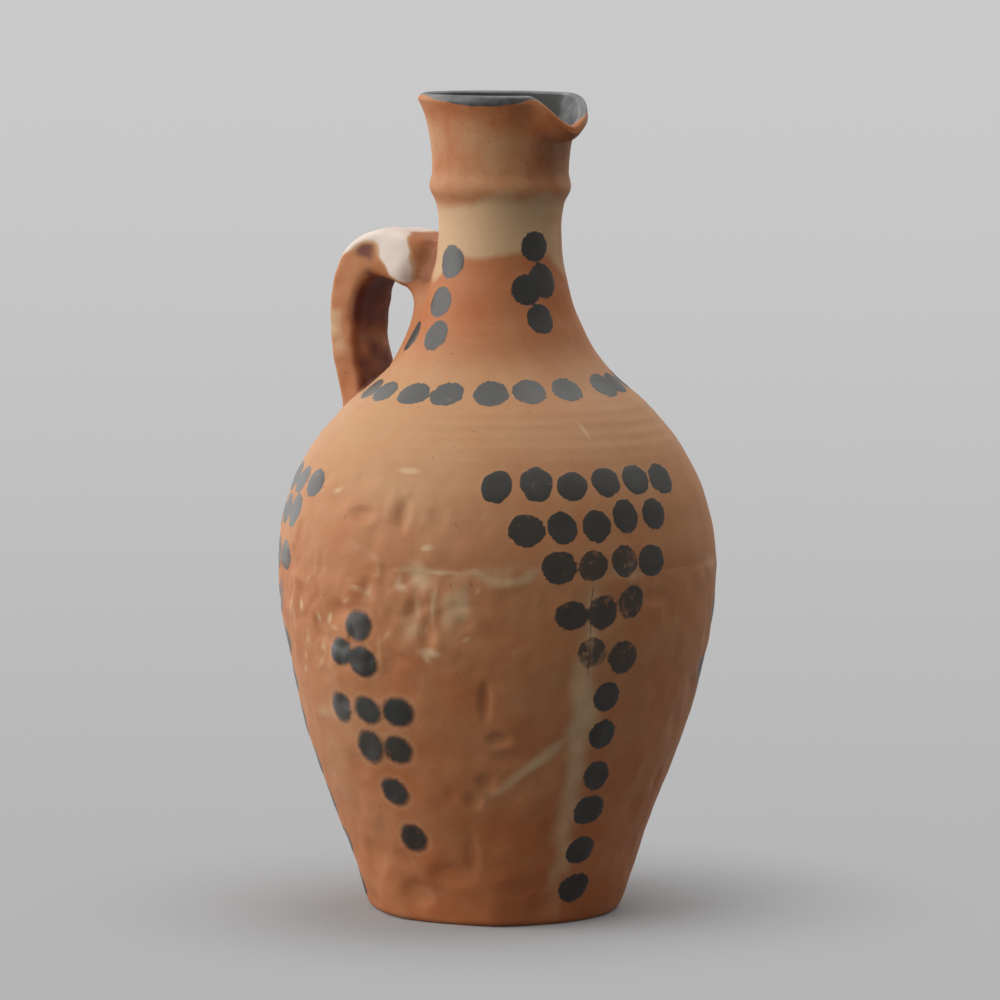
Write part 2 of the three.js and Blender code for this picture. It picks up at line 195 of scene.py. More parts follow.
# Rows of finger dots: how many, how high up the wall, where the first lies across the motif, the step
# between them, the rise per metre across, how worn they are and how far their edges bleed
Row = namedtuple("Row", "count height left pitch slope wear bleed")
BUNCH_ROWS = (
    Row(6, 0.1820, -0.0417, 0.0147, 0.00, 0.08, 0.0),
    Row(5, 0.1668, -0.0340, 0.0141, 0.09, 0.14, 0.0),
    Row(4, 0.1510, -0.0222, 0.0136, 0.00, 0.22, 0.0),
    Row(3, 0.1336, -0.0168, 0.0128, 0.12, 0.44, 0.2),
    Row(2, 0.1154, -0.0073, 0.0136, -0.12, 0.32, 0.2),
)
BUNCH_TAIL = 6
BUNCH_TAIL_TOP = 0.0990
BUNCH_TAIL_PITCH = 0.0167
BUNCH_TAIL_LEFT = 0.0010
BUNCH_TAIL_DRIFT = 0.0006
BUNCH_TAIL_WEAR = 0.08
BUNCH_TAIL_BLEED = 0.15
BUNCH_ANGLES = (-27, 93, -144.5)
BUNCH_DROPS = (0.0, 0.0020, 0.0035)
SPRAY_ROWS = (
    Row(1, 0.1247, -0.0010, 0.0000, 0.00, 0.10, 0.8),
    Row(2, 0.1108, -0.0102, 0.0104, -0.35, 0.05, 0.8),
    Row(3, 0.0920, -0.0155, 0.0140, 0.03, 0.05, 1.0),
    Row(2, 0.0762, -0.0030, 0.0121, 0.03, 0.10, 1.0),
    Row(1, 0.0578, 0.0032, 0.0000, 0.00, 0.05, 0.9),
    Row(1, 0.0377, 0.0077, 0.0000, 0.00, 0.10, 0.9),
)
SPRAY_ANGLES = (-96, 33, 152)
SPRAY_DROPS = (0.0, -0.0110, 0.0040)
NECK_ROWS = (
    Row(1, 0.2875, 0.0011, 0.0000, 0.00, 0.05, 0.0),
    Row(2, 0.2721, -0.0044, 0.0075, 0.25, 0.05, 0.0),
    Row(1, 0.2574, 0.0005, 0.0000, 0.00, 0.05, 0.0),
)
NECK_ANGLES = (-26, 94)
HANDLE_SIDE_ROWS = (
    Row(1, 0.2810, 0.0013, 0.0000, 0.00, 0.05, 0.1),
    Row(1, 0.2643, -0.0009, 0.0000, 0.00, 0.05, 0.1),
    Row(2, 0.2506, -0.0168, 0.0195, 0.10, 0.05, 0.1),
)
HANDLE_SIDE_ANGLES = (-110,)
RING_ANGLES = (
    -133, -118, -98.5, -81.5, -61.5, -44, -25, 0.5, 14,
    32, 49.5, 67, 85, 103, 120.5, 138, 155, 205.5,
)
RING_HEIGHT = 0.2250
RING_TILT = 0.0025
RING_TILT_ANGLE = -58
RING_BROAD = 1.09
RING_WEAR = 0.05

# How dots differ: shares of size, stretch and wear, the lean, shifts up and across, and a wobbling edge
DOT_SEED = 4
DOT_REACH = 0.012
DOT_SIZES = (0.93, 1.06)
DOT_STRETCHES = (0.92, 1.09)
DOT_LEANS = (-0.5, 0.5)
DOT_WEARS = (0.5, 1.5)
DOT_SHIFTS_UP = (-0.0010, 0.0010)
DOT_SHIFTS_ACROSS = (-0.0006, 0.0006)
DOT_NEARBY = 0.001
DOT_RIM = (-0.0012, 0.0004)
DOT_WOBBLE = 0.13
DOT_WOBBLE_SCALE = 1.6
DOT_WOBBLE_STEP = 1.7
DOT_WOBBLE_CORE = 0.3

# Dents and finger marks: angle, place up the wall, half width, half height, depth
Dent = namedtuple("Dent", "angle height width tall depth")
DENTS = (
    Dent(-61, 0.098, 0.0020, 0.0070, 0.0013),
    Dent(-57, 0.082, 0.0042, 0.0026, 0.0012),
    Dent(-61, 0.063, 0.0034, 0.0036, 0.0011),
    Dent(-65, 0.055, 0.0030, 0.0034, 0.0010),
    Dent(-54, 0.074, 0.0070, 0.0030, 0.0008),
    Dent(-36, 0.009, 0.0060, 0.0040, 0.0012),
    Dent(-49, 0.016, 0.0080, 0.0040, 0.0011),
    Dent(-93, 0.012, 0.0070, 0.0050, 0.0012),
    Dent(-75, 0.022, 0.0090, 0.0045, 0.0008),
    Dent(-112, 0.026, 0.0060, 0.0060, 0.0008),
    Dent(-97, 0.168, 0.0056, 0.0028, 0.0017),
    Dent(-88, 0.172, 0.0024, 0.0060, -0.0006),
    Dent(-84, 0.169, 0.0026, 0.0058, 0.0011),
    Dent(-107, 0.173, 0.0050, 0.0036, 0.0009),
    Dent(-99, 0.182, 0.0066, 0.0028, 0.0008),
    Dent(-80, 0.132, 0.0030, 0.0050, 0.0008),
    Dent(-76, 0.124, 0.0030, 0.0060, 0.0008),
    Dent(-104, 0.130, 0.0050, 0.0040, 0.0009),
    Dent(-112, 0.121, 0.0040, 0.0060, 0.0008),
    Dent(-120, 0.133, 0.0050, 0.0050, 0.0009),
)
DENT_REACH = 0.018

# More dents, strewn below the seam and over the side that was worked most
DENT_SEED = 11
DENT_COUNT = 190
DENT_ANGLES = (-180, 180)
DENT_CROWDING = 1.6
DENT_LOWEST_SHARE = 0.85
DENT_BELOW_SEAM = 0.006
DENT_WIDTHS = (0.0020, 0.0055)
DENT_TALLS = (0.0022, 0.0075)
DENT_DEPTHS = (-0.0005, 0.0008)
WORKED_DENT_COUNT = 46
WORKED_DENT_ANGLES = (-45, 45)
WORKED_DENT_RISES = (-0.036, 0.042)
WORKED_DENT_WIDTHS = (0.0018, 0.0045)
WORKED_DENT_TALLS = (0.0018, 0.0050)
WORKED_DENT_DEPTHS = (-0.0005, 0.0006)
WORKED_ANGLE = math.radians(-97)
WORKED_SPREAD = math.radians(62)
WORKED_HEIGHT = 0.146
WORKED_TALL = 0.064
WORKED_FULL = 0.55

# Smears of pale slip, among them a painted highlight low on the foot and painted light on the lower left:
# angle, place up the wall, half length, half width, turn from level, strength
Smear = namedtuple("Smear", "angle height long wide turn strength")
SMEARS = (
    Smear(-47, 0.070, 0.027, 0.0030, math.radians(40), 0.72),
    Smear(-40, 0.062, 0.014, 0.0080, math.radians(60), 0.22),
    Smear(-33, 0.090, 0.046, 0.0066, math.radians(93), 0.80),
    Smear(-32, 0.050, 0.045, 0.0062, math.radians(91), 0.62),
    Smear(-75.5, 0.1480, 0.016, 0.0013, 0.0, 0.85),
    Smear(-58, 0.1490, 0.013, 0.0050, math.radians(8), 0.44),
    Smear(-81, 0.126, 0.009, 0.0080, 0.0, 0.50),
    # a painted highlight on the foot, not slip
    Smear(-88, 0.013, 0.018, 0.0060, math.radians(15), 0.22),
    Smear(-115, 0.088, 0.012, 0.0060, math.radians(30), 0.45),
    # painted light on the lower left, not slip
    Smear(-120, 0.058, 0.045, 0.0150, math.radians(97), 0.30),
    Smear(-78, 0.146, 0.008, 0.0040, math.radians(-10), 0.80),
    Smear(-68.5, 0.1350, 0.013, 0.0036, math.radians(80), 0.70),
    Smear(-75, 0.117, 0.005, 0.0020, math.radians(5), 0.80),
    Smear(-95, 0.1545, 0.013, 0.0028, math.radians(-6), 0.36),
    Smear(-32, 0.128, 0.020, 0.0048, math.radians(90), 0.85),
    Smear(-85, 0.187, 0.0045, 0.0013, math.radians(-8), 1.00),
    Smear(-74, 0.136, 0.0080, 0.0011, math.radians(83), 0.90),
    Smear(-83, 0.141, 0.0030, 0.0015, 0.0, 0.70),
    Smear(-109, 0.177, 0.0032, 0.0013, math.radians(15), 0.90),
    Smear(-107, 0.1265, 0.0026, 0.0012, math.radians(80), 1.00),
    Smear(-112, 0.126, 0.0022, 0.0012, math.radians(85), 0.90),
    Smear(-121, 0.130, 0.0026, 0.0012, math.radians(85), 0.90),
    Smear(-76, 0.157, 0.0030, 0.0012, math.radians(10), 1.00),
    Smear(-27, 0.205, 0.0060, 0.0010, math.radians(-75), 0.80),
    Smear(60, 0.140, 0.030, 0.0045, 0.0, 0.70),
    Smear(110, 0.090, 0.040, 0.0055, math.radians(80), 0.60),
    Smear(175, 0.144, 0.028, 0.0050, 0.0, 0.70),
    Smear(200, 0.070, 0.030, 0.0050, math.radians(55), 0.60),
)
SMEAR_SEED = 5
SMEAR_WANDER = 0.0045
SMEAR_SCALE = 80.0
SMEAR_REACH = 2
SMEAR_LOOSE_WIDTH = 0.004

# Small smears strewn over the wall: drips, whose heights count from the belly seam, and pale scratches on
# the worked side
Scatter = namedtuple("Scatter", "seed count angles heights lengths widths turns strengths")
DRIPS = Scatter(
    seed=23, count=40, angles=(45, 288), heights=(-0.002, -0.032), lengths=(0.0025, 0.0100),
    widths=(0.0010, 0.0026), turns=(65, 115), strengths=(0.30, 0.75),
)
SCUFFS = Scatter(
    seed=31, count=40, angles=(-124, -62), heights=(0.104, 0.150), lengths=(0.0016, 0.0045),
    widths=(0.0010, 0.0016), turns=(-25, 100), strengths=(0.25, 0.60),
)

# Slip left in the belly seam
SEAM_SLIP = 0.6
SEAM_SLIP_HALF_WIDTH = 0.0045
SEAM_SLIP_SCALE = 24.0
SEAM_SLIP_PATCHES = (-0.15, 0.4)

# Dark slip in the mouth and on the lip, where it runs over the edge and is worn off at the spout
DARK_INSIDE = (0.235, 0.262)
LIP_RUN_LEAST = -0.0022
LIP_RUN_MOST = 0.0012
LIP_RUN_ANGLE = math.radians(-72)
LIP_RUN_SPREAD = math.radians(58)
LIP_RUN_RAGGED = 0.0009
LIP_RUN_SCALE = 4.0
LIP_RUN_LAYER = 0.3
LIP_RUN_FADE = (-0.0007, 0.0007)
LIP_WORN = 0.0032
LIP_WORN_SPREAD = math.radians(36)

# Band of pale slip on the neck
PALE_BAND_FOOT = 0.2825
PALE_BAND_TOP = 0.3125
PALE_BAND_ANGLE = math.radians(-80)
PALE_BAND_SPREAD = math.radians(120)
PALE_BAND_LEAST = 0.45
PALE_BAND_RAGGED = Grain(0.0040, 45.0)
PALE_BAND_WAVE = 0.0020
PALE_BAND_WAVE_TURN = 1.2
PALE_BAND_DIP = 0.0110
PALE_BAND_DIP_SIDE = (0.22, 0.78)
PALE_BAND_LEAN = 0.0040
PALE_BAND_LEAN_SIDE = (-0.3, 0.6)
PALE_BAND_FOOT_FADE = (-0.0030, 0.0045)
PALE_BAND_TOP_FADE = (-0.0115, 0.0015)
PALE_BAND_TOP_WANDER = 0.6
FRONT_ANGLE = math.radians(-58)

# Painted shade on the side of the mouth away from the light, and the hair crack
MOUTH_SHADE = 0.48
MOUTH_SHADE_RAGGED = Grain(0.35, 40.0)
MOUTH_SHADE_SIDE = (0.10, 0.85)
MOUTH_SHADE_ABOVE_RIDGE = (-0.004, 0.008)
CRACK_ANGLE = -33
CRACK_DRIFT = 0.0018
CRACK_SCALE = 60

# Paint on the strap, by the distance from the neck and the lift, which is 1 on its upper face and -1 on its
# inner one: soft ovals, and edges from where a paint starts to where it is full
Oval = namedtuple("Oval", "place run lift spread")
STRAP_RAGGED_GRAINS = (Grain(1.0, 70.0), Grain(0.5, 190.0))
STRAP_PAINT_RAGGED = 0.5
NEAR_SIDE = (0.0, 0.5)
CAP_EDGE = (-0.95, 0.90)
CAP_EDGE_FROM = 0.0145
CAP_EDGE_RUN = 0.030
CAP_RAGGED = 0.28
CAP_SOFT = (-0.12, 0.14)
CAP_INNER = (-0.97, -0.80)
CAP_LEAN = 0.0044
CAP_START = (0.0056, 0.0097)
CAP_START_RAGGED = 0.003
CAP_END = (0.036, 0.060)
CAP_END_RAGGED = 0.010
STREAK = Oval(0.0690, 0.0095, 0.30, 0.85)
STREAK_STRENGTH = 0.72
STREAK_RAGGED = 0.008
STREAK_LEAN = 0.004
UPPER_WASH = 0.20
UPPER_WASH_START = (0.030, 0.042)
UPPER_WASH_END = (0.056, 0.072)
FIRE_MARK = Oval(0.0305, 0.0048, 0.08, 0.40)
FIRE_MARK_STRENGTH = 1.3
FIRE_MARK_RAGGED = 0.3
# Painted shadow under the fire mark
UNDER_SHADOW = Oval(0.036, 0.0055, -0.80, 0.28)
UNDER_SHADOW_STRENGTH = 0.6
# Painted highlight, a pale patch on the strap's inner face lower down
INNER_HIGHLIGHT = Oval(0.072, 0.008, 0.0, math.inf)
INNER_HIGHLIGHT_STRENGTH = 0.34
INNER_HIGHLIGHT_RAGGED = 0.006
# Painted shade on the strap's inner face, which faces the pot
INNER_SHADE = 0.90
INNER_SHADE_FACE = (0.40, 0.85)
INNER_SHADE_RAGGED = 0.15
INNER_SHADE_CLEARED = 0.55
LIMB_START = (0.028, 0.042)
# Painted shade where the strap's root turns in to the neck
ROOT_SHADE = 0.50
ROOT_SHADE_END = (0.003, 0.012)
ROOT_SHADE_RAGGED = 0.004
SHADE = 0.50
SHADE_FACE = (0.05, 0.85)
SHADE_RAGGED = 0.3
FOOT_BURNT = 0.75
FOOT_BURNT_START = (0.070, 0.095)
FOOT_BURNT_RAGGED = 0.010
FOOT_BURNT_FACE = (0.35, 0.85)
FOOT_BURNT_FACE_RAGGED = 0.2

# Wads: how far they reach along the strap and out over the pot, each beside, over and under the strap
WadReach = namedtuple("WadReach", "along out tightness")
UPPER_WAD = WadReach((0.0030, 0.0060, 0.0130), (0.0015, 0.0045, 0.0330), 4)
LOWER_WAD = WadReach((0.0035, 0.0050, 0.0060), (0.0025, 0.0030, 0.0050), 2)
WAD_HOOP_RADIUS = 3.0
WAD_SINK = 0.00025
WAD_DEEP = 0.002
WAD_ON_POT = (0.35, 0.85)
WAD_PALE_FACE = (-0.3, 0.2)
WAD_PALE_END = (0.0, 0.5)

# Finish: noises by scale, detail and roughness, the share of each noise in what it roughens, layers by where
# they start, where they are full and how strong they are, and edges by where they start and end
NOISE_MIDDLE = 0.5
COLOUR_SOCKETS = (6, 7)
COLOUR_RESULT = 2
CLOUD = (14.0, 4.0, 0.6)
PATCH = (60.0, 4.0, 0.6)
BLOTCH = (150.0, 3.0, 0.6)
FINE = (300.0, 3.0, 0.55)
GRIT = (950.0, 3.0, 0.6)
SPECK = (420.0, 1.0, 0.5)
WHEEL = (1.0, 2.0, 0.6)
WHEEL_STRETCH = (7.0, 7.0, 330.0)
DRAG = (1.0, 3.0, 0.6)
DRAG_STRETCH = (130.0, 130.0, 14.0)
RUDDY_SHARES = {"cloud": 1.1, "drag": 0.25}
WASH_SHARES = {"patch": 0.45, "blotch": 0.35, "drag": 0.3}
FIRE_AND_SHADE_SHARES = {"patch": 0.5, "blotch": 0.3}
BRIM_SHARES = {"fine": 0.4}
BRIM_GAP_SHARES = {"patch": 1.0, "blotch": 0.3}
THICK_SHARES = {"patch": 0.5, "blotch": 0.5}
DOT_EDGE_SHARES = {"blotch": 0.8, "fine": 0.25, "grit": 0.06}
DOT_THIN_SHARES = {"patch": 0.2, "blotch": 0.55, "fine": 0.25}
SLIP_GLOSS_SHARES = {"patch": 0.2}
CLAY_GLOSS_SHARES = {"fine": 0.12}
BUMP_SHARES = {"blotch": 0.16, "fine": 0.14, "grit": 0.06}
WHEEL_BUMP_SHARES = {"wheel": 0.05}
Layer = namedtuple("Layer", "start end strength")
RUDDY_FOOT = 0.86
RUDDY_LAYERS = (
    Layer(0.015, 0.085, -0.21),
    Layer(0.116, 0.156, -0.25),
    Layer(0.150, 0.196, -0.34),
    Layer(0.206, 0.230, 0.68),
    Layer(0.270, 0.300, -0.28),
    Layer(0.304, 0.313, 0.28),
)
# Redder clay on the strap, raised further as painted shade that darkens the whole strap
STRAP_RUDDY_AND_SHADE = 0.70
MOTTLING = 0.75
MOUTH_MOTTLING = Layer(0.275, 0.292, 1.7)
THROWN_HEIGHTS = (0.145, 0.165)
WHEEL_LAYER = Layer(0.5, 0.8, 0.07)
BLOTCH_LAYER = Layer(0.58, 0.80, 0.12)
GRIT_LAYER = Layer(0.60, 0.8, 0.18)
SPECK_LAYER = Layer(0.74, 0.80, 0.4)
WASH_LAYER = Layer(0.10, 0.85, 0.9)
WHITE_EDGE = (0.68, 0.95)
FIRE_AND_SHADE_LAYER = Layer(0.12, 0.95, 0.95)
WORN_LAYER = Layer(0.35, 0.6, 0.7)
WORN_OUTER_EDGE = (0.03, 0.25)
WORN_INNER_EDGE = (0.70, 0.95)
BRIM_EDGE = (0.46, 0.62)
BRIM_GAPS = (0.20, 0.42)
THICK_LAYER = Layer(0.44, 0.62, 0.75)
# Painted shade on the slip inside the mouth: how much it darkens the slip, roughens it and dulls its shine
INSIDE_SHADE_THICK = 0.22
INSIDE_SHADE_ROUGH = 0.35
INSIDE_SHADE_DULL = 0.9
HALO = 0.14
HALO_START = (-0.2, 1.0)
HALO_END = (1.0, 3.0)
DOT_SOFT = 0.22
DOT_SOFT_BLEED = 1.3
DOT_CRISP_BLEED = 0.6
DOT_COVER = 0.995
DOT_LOST = Layer(0.62, 0.78, 0.50)
DOT_LOST_WEAR = 0.40
DOT_FADED_WEAR = 0.20
DOT_GREY_LAYER = Layer(0.46, 0.66, 0.12)
CRACK_STRENGTH = 0.8
CRACK_LINE = (0.08, 0.28)
CRACK_FOOT = (0.100, 0.106)
CRACK_TOP = (0.137, 0.140)
CRACK_GAPS = (0.36, 0.46)
BUMP_STRENGTH = 0.6
BUMP_DISTANCE = 0.001
DOT_BUMP = 0.06
CRACK_BUMP = 0.25
SPECULAR = 0.22
COAT_ROUGHNESS = 0.34

# Stage: where the floor fades out, the slopes of sight between which the backdrop changes colour and the
# ceiling brightens, the turn, rise and edges of the bright wall on the left, and for each lamp its size, its
# turn from the camera, its rise and its distance
FLOOR_RADIUS = 3.0
FLOOR_SIDES = 96
FLOOR_FADE_START = 0.03
FLOOR_FADE_END = 0.20
BACKDROP_HIGH_SLOPE = -0.02
BACKDROP_LOW_SLOPE = -0.20
OVERHEAD_LOW_SLOPE = 0.80
OVERHEAD_HIGH_SLOPE = 0.97
WALL_TURN = math.radians(-115)
WALL_RISE = math.radians(20)
WALL_EDGE = 0.55
WALL_MIDDLE = 0.95
Lamp = namedtuple("Lamp", "size turn rise distance")
KEY_LAMP = Lamp(1.7, math.radians(-65), math.radians(34), 1.7)
TOP_LAMP = Lamp(1.9, math.radians(127), math.radians(64), 1.6)
FILL_LAMP = Lamp(0.9, math.radians(-90), math.radians(4), 1.4)


def span(name, description, default):
    """A length that a user may change."""
    return FloatProperty(name=name, description=description, default=default, min=0.0, unit="LENGTH",
                         subtype="DISTANCE", precision=4)


def turn(name, description, degrees):
    """An angle that a user may change."""
    return FloatProperty(name=name, description=description, default=math.radians(degrees), unit="ROTATION",
                         subtype="ANGLE")


def amount(name, description, default, most=1.0):
    """A plain number that a user may change."""
    return FloatProperty(name=name, description=description, default=default, min=0.0, max=most)


def tint(name, description, default):
    """A colour that a user may change."""
    return FloatVectorProperty(name=name, description=description, default=default, min=0.0, max=1.0, size=3,
                               subtype="COLOR")


def watts(name, description, default):
    """The power of a light that a user may change."""
    return FloatProperty(name=name, description=description, default=default, min=0.0, unit="POWER")


def node_radius(node):
    """Half the width of a CAD node."""
    low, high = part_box(node)
    return (high.y - low.y) / 2


def node_top(node):
    """Height of the top of a CAD node."""
    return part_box(node)[1].z


class JugSizes(bpy.types.PropertyGroup):
    """Sizes of the jug."""

    foot_radius: span("Foot radius", "Outside radius of the foot", 0.0492)
    belly_radius: span("Belly radius", "Outside radius at the widest place", node_radius("lower_body"))
    neck_seam_radius: span("Neck seam radius", "Outside radius where the neck joins the shoulder", 0.0465)
    waist_radius: span("Waist radius", "Outside radius at the neck's narrowest place", 0.0240)
    collar_radius: span("Collar radius", "Outside radius at the collar's narrowest place", 0.0268)
    lip_radius: span("Lip radius", "Outside radius of the lip", node_radius("mouth"))
    belly_height: span("Belly height", "Table to the widest place", 0.136)
    neck_seam_height: span("Neck seam height", "Table to the foot of the neck", 0.210)
    waist_height: span("Waist height", "Table to the neck's narrowest place", 0.267)
    collar_height: span("Collar height", "Table to the collar's narrowest place", 0.293)
    top_height: span("Top height", "Table to the top of the lip", node_top("mouth"))
    spout_reach: span("Spout reach", "How far the spout is drawn out past the lip", 0.0042)
    spout_dip: span("Spout dip", "How far the spout is drawn down below the lip", 0.0105)
    handle_width: span("Handle width", "Width of the strap", node_radius("handle") * 2)
    handle_thickness: span("Handle thickness", "Thickness of the strap", 0.0125)
    handle_root_thickness: span("Handle root thickness", "Thickness of the strap at the neck", 0.021)
    handle_reach: span("Handle reach", "Pot's axis to the middle of the strap at its widest", 0.066)
    dot_width: span("Dot width", "Width of a finger dot", 0.0128)
    dot_proud: span("Dot thickness", "Thickness of the slip in a dot", 0.00012)
    ring_depth: span("Ring depth", "Depth of the throwing rings on the shoulder", 0.00012)
    paddle_depth: span("Paddle depth", "Depth of the uneven paddled surface below the seam", 0.0008)


class JugFinish(bpy.types.PropertyGroup):
    """Colours and gloss of the clay and its slips."""

    clay: tint("Clay", "Fired clay where it is light", (0.445, 0.236, 0.114))
    red_clay: tint("Red clay", "Fired clay where it is redder", (0.375, 0.117, 0.038))
    # also the colour of the painted light on the foot, on the lower left and on the handle's inner face
    pale_slip_and_light: tint("Pale slip", "Wash of pale slip on the neck and in smears", (0.54, 0.36, 0.205))
    white_slip: tint("White slip", "Thick pale slip on top of the handle", (0.71, 0.62, 0.55))
    dark_slip: tint("Dark slip", "Slip on the lip and in the mouth", (0.088, 0.086, 0.084))
    dot_slip: tint("Dot slip", "Slip in the finger dots", (0.0105, 0.0122, 0.0100))
    # also the colour of the painted shade on the handle and on the side of the mouth
    burnt_clay_and_shade: tint("Burnt clay", "Purple-brown fire marks on the handle", (0.118, 0.034, 0.025))
    clay_roughness: amount("Clay roughness", "Roughness of the burnished clay", 0.60)
    slip_roughness: amount("Slip roughness", "Roughness of the dark slip and dots", 0.46)
    slip_sheen: amount("Slip sheen", "Strength of the shine on the dark slip and dots", 0.29)


class JugStage(bpy.types.PropertyGroup):
    """Camera, light and floor."""

    azimuth: turn("Azimuth", "Direction of the camera round the jug", 32)
    elevation: turn("Elevation", "Height of the camera above the horizon, as an angle", 6.2)
    roll: turn("Roll", "Turn of the camera about its own line of sight", 0.45)
    distance: span("Distance", "Camera to the jug's axis", 2.1859)
    aim_height: span("Aim height", "Height on the axis that the camera looks at", 0.1612)
    lens: FloatProperty(name="Lens", description="Focal length", default=200.0, unit="CAMERA")
    shift: FloatProperty(name="Shift", description="Sideways shift of the picture", default=0.0022)
    backdrop_high: tint("Backdrop, high", "Colour behind the jug at eye level", (0.585, 0.585, 0.585))
    backdrop_low: tint("Backdrop, low", "Colour behind the jug lower down", (0.46, 0.46, 0.46))
    overhead: amount("Overhead", "How much brighter the studio's ceiling is than its backdrop", 4.5, 10.0)
    wall: amount("Wall", "How much brighter the studio's wall on the left is than its backdrop", 3.4, 10.0)
    floor: tint("Floor", "Colour of the floor", (0.40, 0.40, 0.40))
    ambient: amount("Ambient", "Strength of the light from all round", 0.22)
    key: watts("Key light", "Power of the large light on the left", 26.8)
    top: watts("Top light", "Power of the light above and behind", 19.0)
    fill: watts("Fill light", "Power of the low light on the left", 6.0)


# Small helpers


def smooth(value, start, end):
    """0 before start, 1 after end, and an S-curve between."""
    share = min(1.0, max(0.0, (value - start) / (end - start)))
    return share * share * (3 - 2 * share)


def mix(low, high, share):
    """A value between two others."""
    return low + (high - low) * share


def swell(share):
    """A soft hump: 1 at 0, and 0 from -1 and 1 outwards."""
    return (1 + math.cos(math.pi * min(1.0, max(-1.0, share)))) / 2


def turn_between(angle, other):
    """The shortest turn from one angle to another."""
    return math.remainder(angle - other, math.tau)


def squared(value, squareness):
    """A sine or cosine pushed outwards, so that an ellipse becomes a rounded oblong."""
    return math.copysign(abs(value) ** (2 / squareness), value)


def steps_along(start, end, longest):
    """Even places from start to end, both included, no further apart than the longest step."""
    count = max(1, math.ceil(abs(end - start) / longest))
    return [mix(start, end, index / count) for index in range(count + 1)]


def rough(at, grains):
    """Height of an uneven surface at a place."""
    return sum(grain.depth * noise.noise(at * grain.scale) for grain in grains)


class Line:
    """A smooth plane line looked up by the length along it."""

    def __init__(self, points):
        self.points = [points[0]]
        for point in points[1:]:
            if (point - self.points[-1]).length > WELD_DISTANCE:
                self.points.append(point)
        self.lengths = [0.0]
        for before, after in zip(self.points, self.points[1:]):
            self.lengths.append(self.lengths[-1] + (after - before).length)
        last = len(self.points) - 1
        self.tangents = [
            (self.points[min(last, index + 1)] - self.points[max(0, index - 1)]).normalized()
            for index in range(last + 1)
        ]

    def at(self, length):
        """The point and the direction of the line at a length."""
        index = min(len(self.points) - 2, max(0, bisect.bisect_right(self.lengths, length) - 1))
        share = (length - self.lengths[index]) / (self.lengths[index + 1] - self.lengths[index])
        point = self.points[index].lerp(self.points[index + 1], share)
        held = min(1.0, max(0.0, share))
        return point, self.tangents[index].lerp(self.tangents[index + 1], held).normalized()


def arm(lean, run):
    """How far a curve runs on at its end, for a slope measured from upright."""
    return Vector((math.sin(lean), math.cos(lean))) * run


def curve(start, leave, end, arrive):
    """Points of a curve that leaves one end and arrives at the other along the arms given."""
    return geometry.interpolate_bezier(start, start + leave, end - arrive, end, SPAN_POINTS)


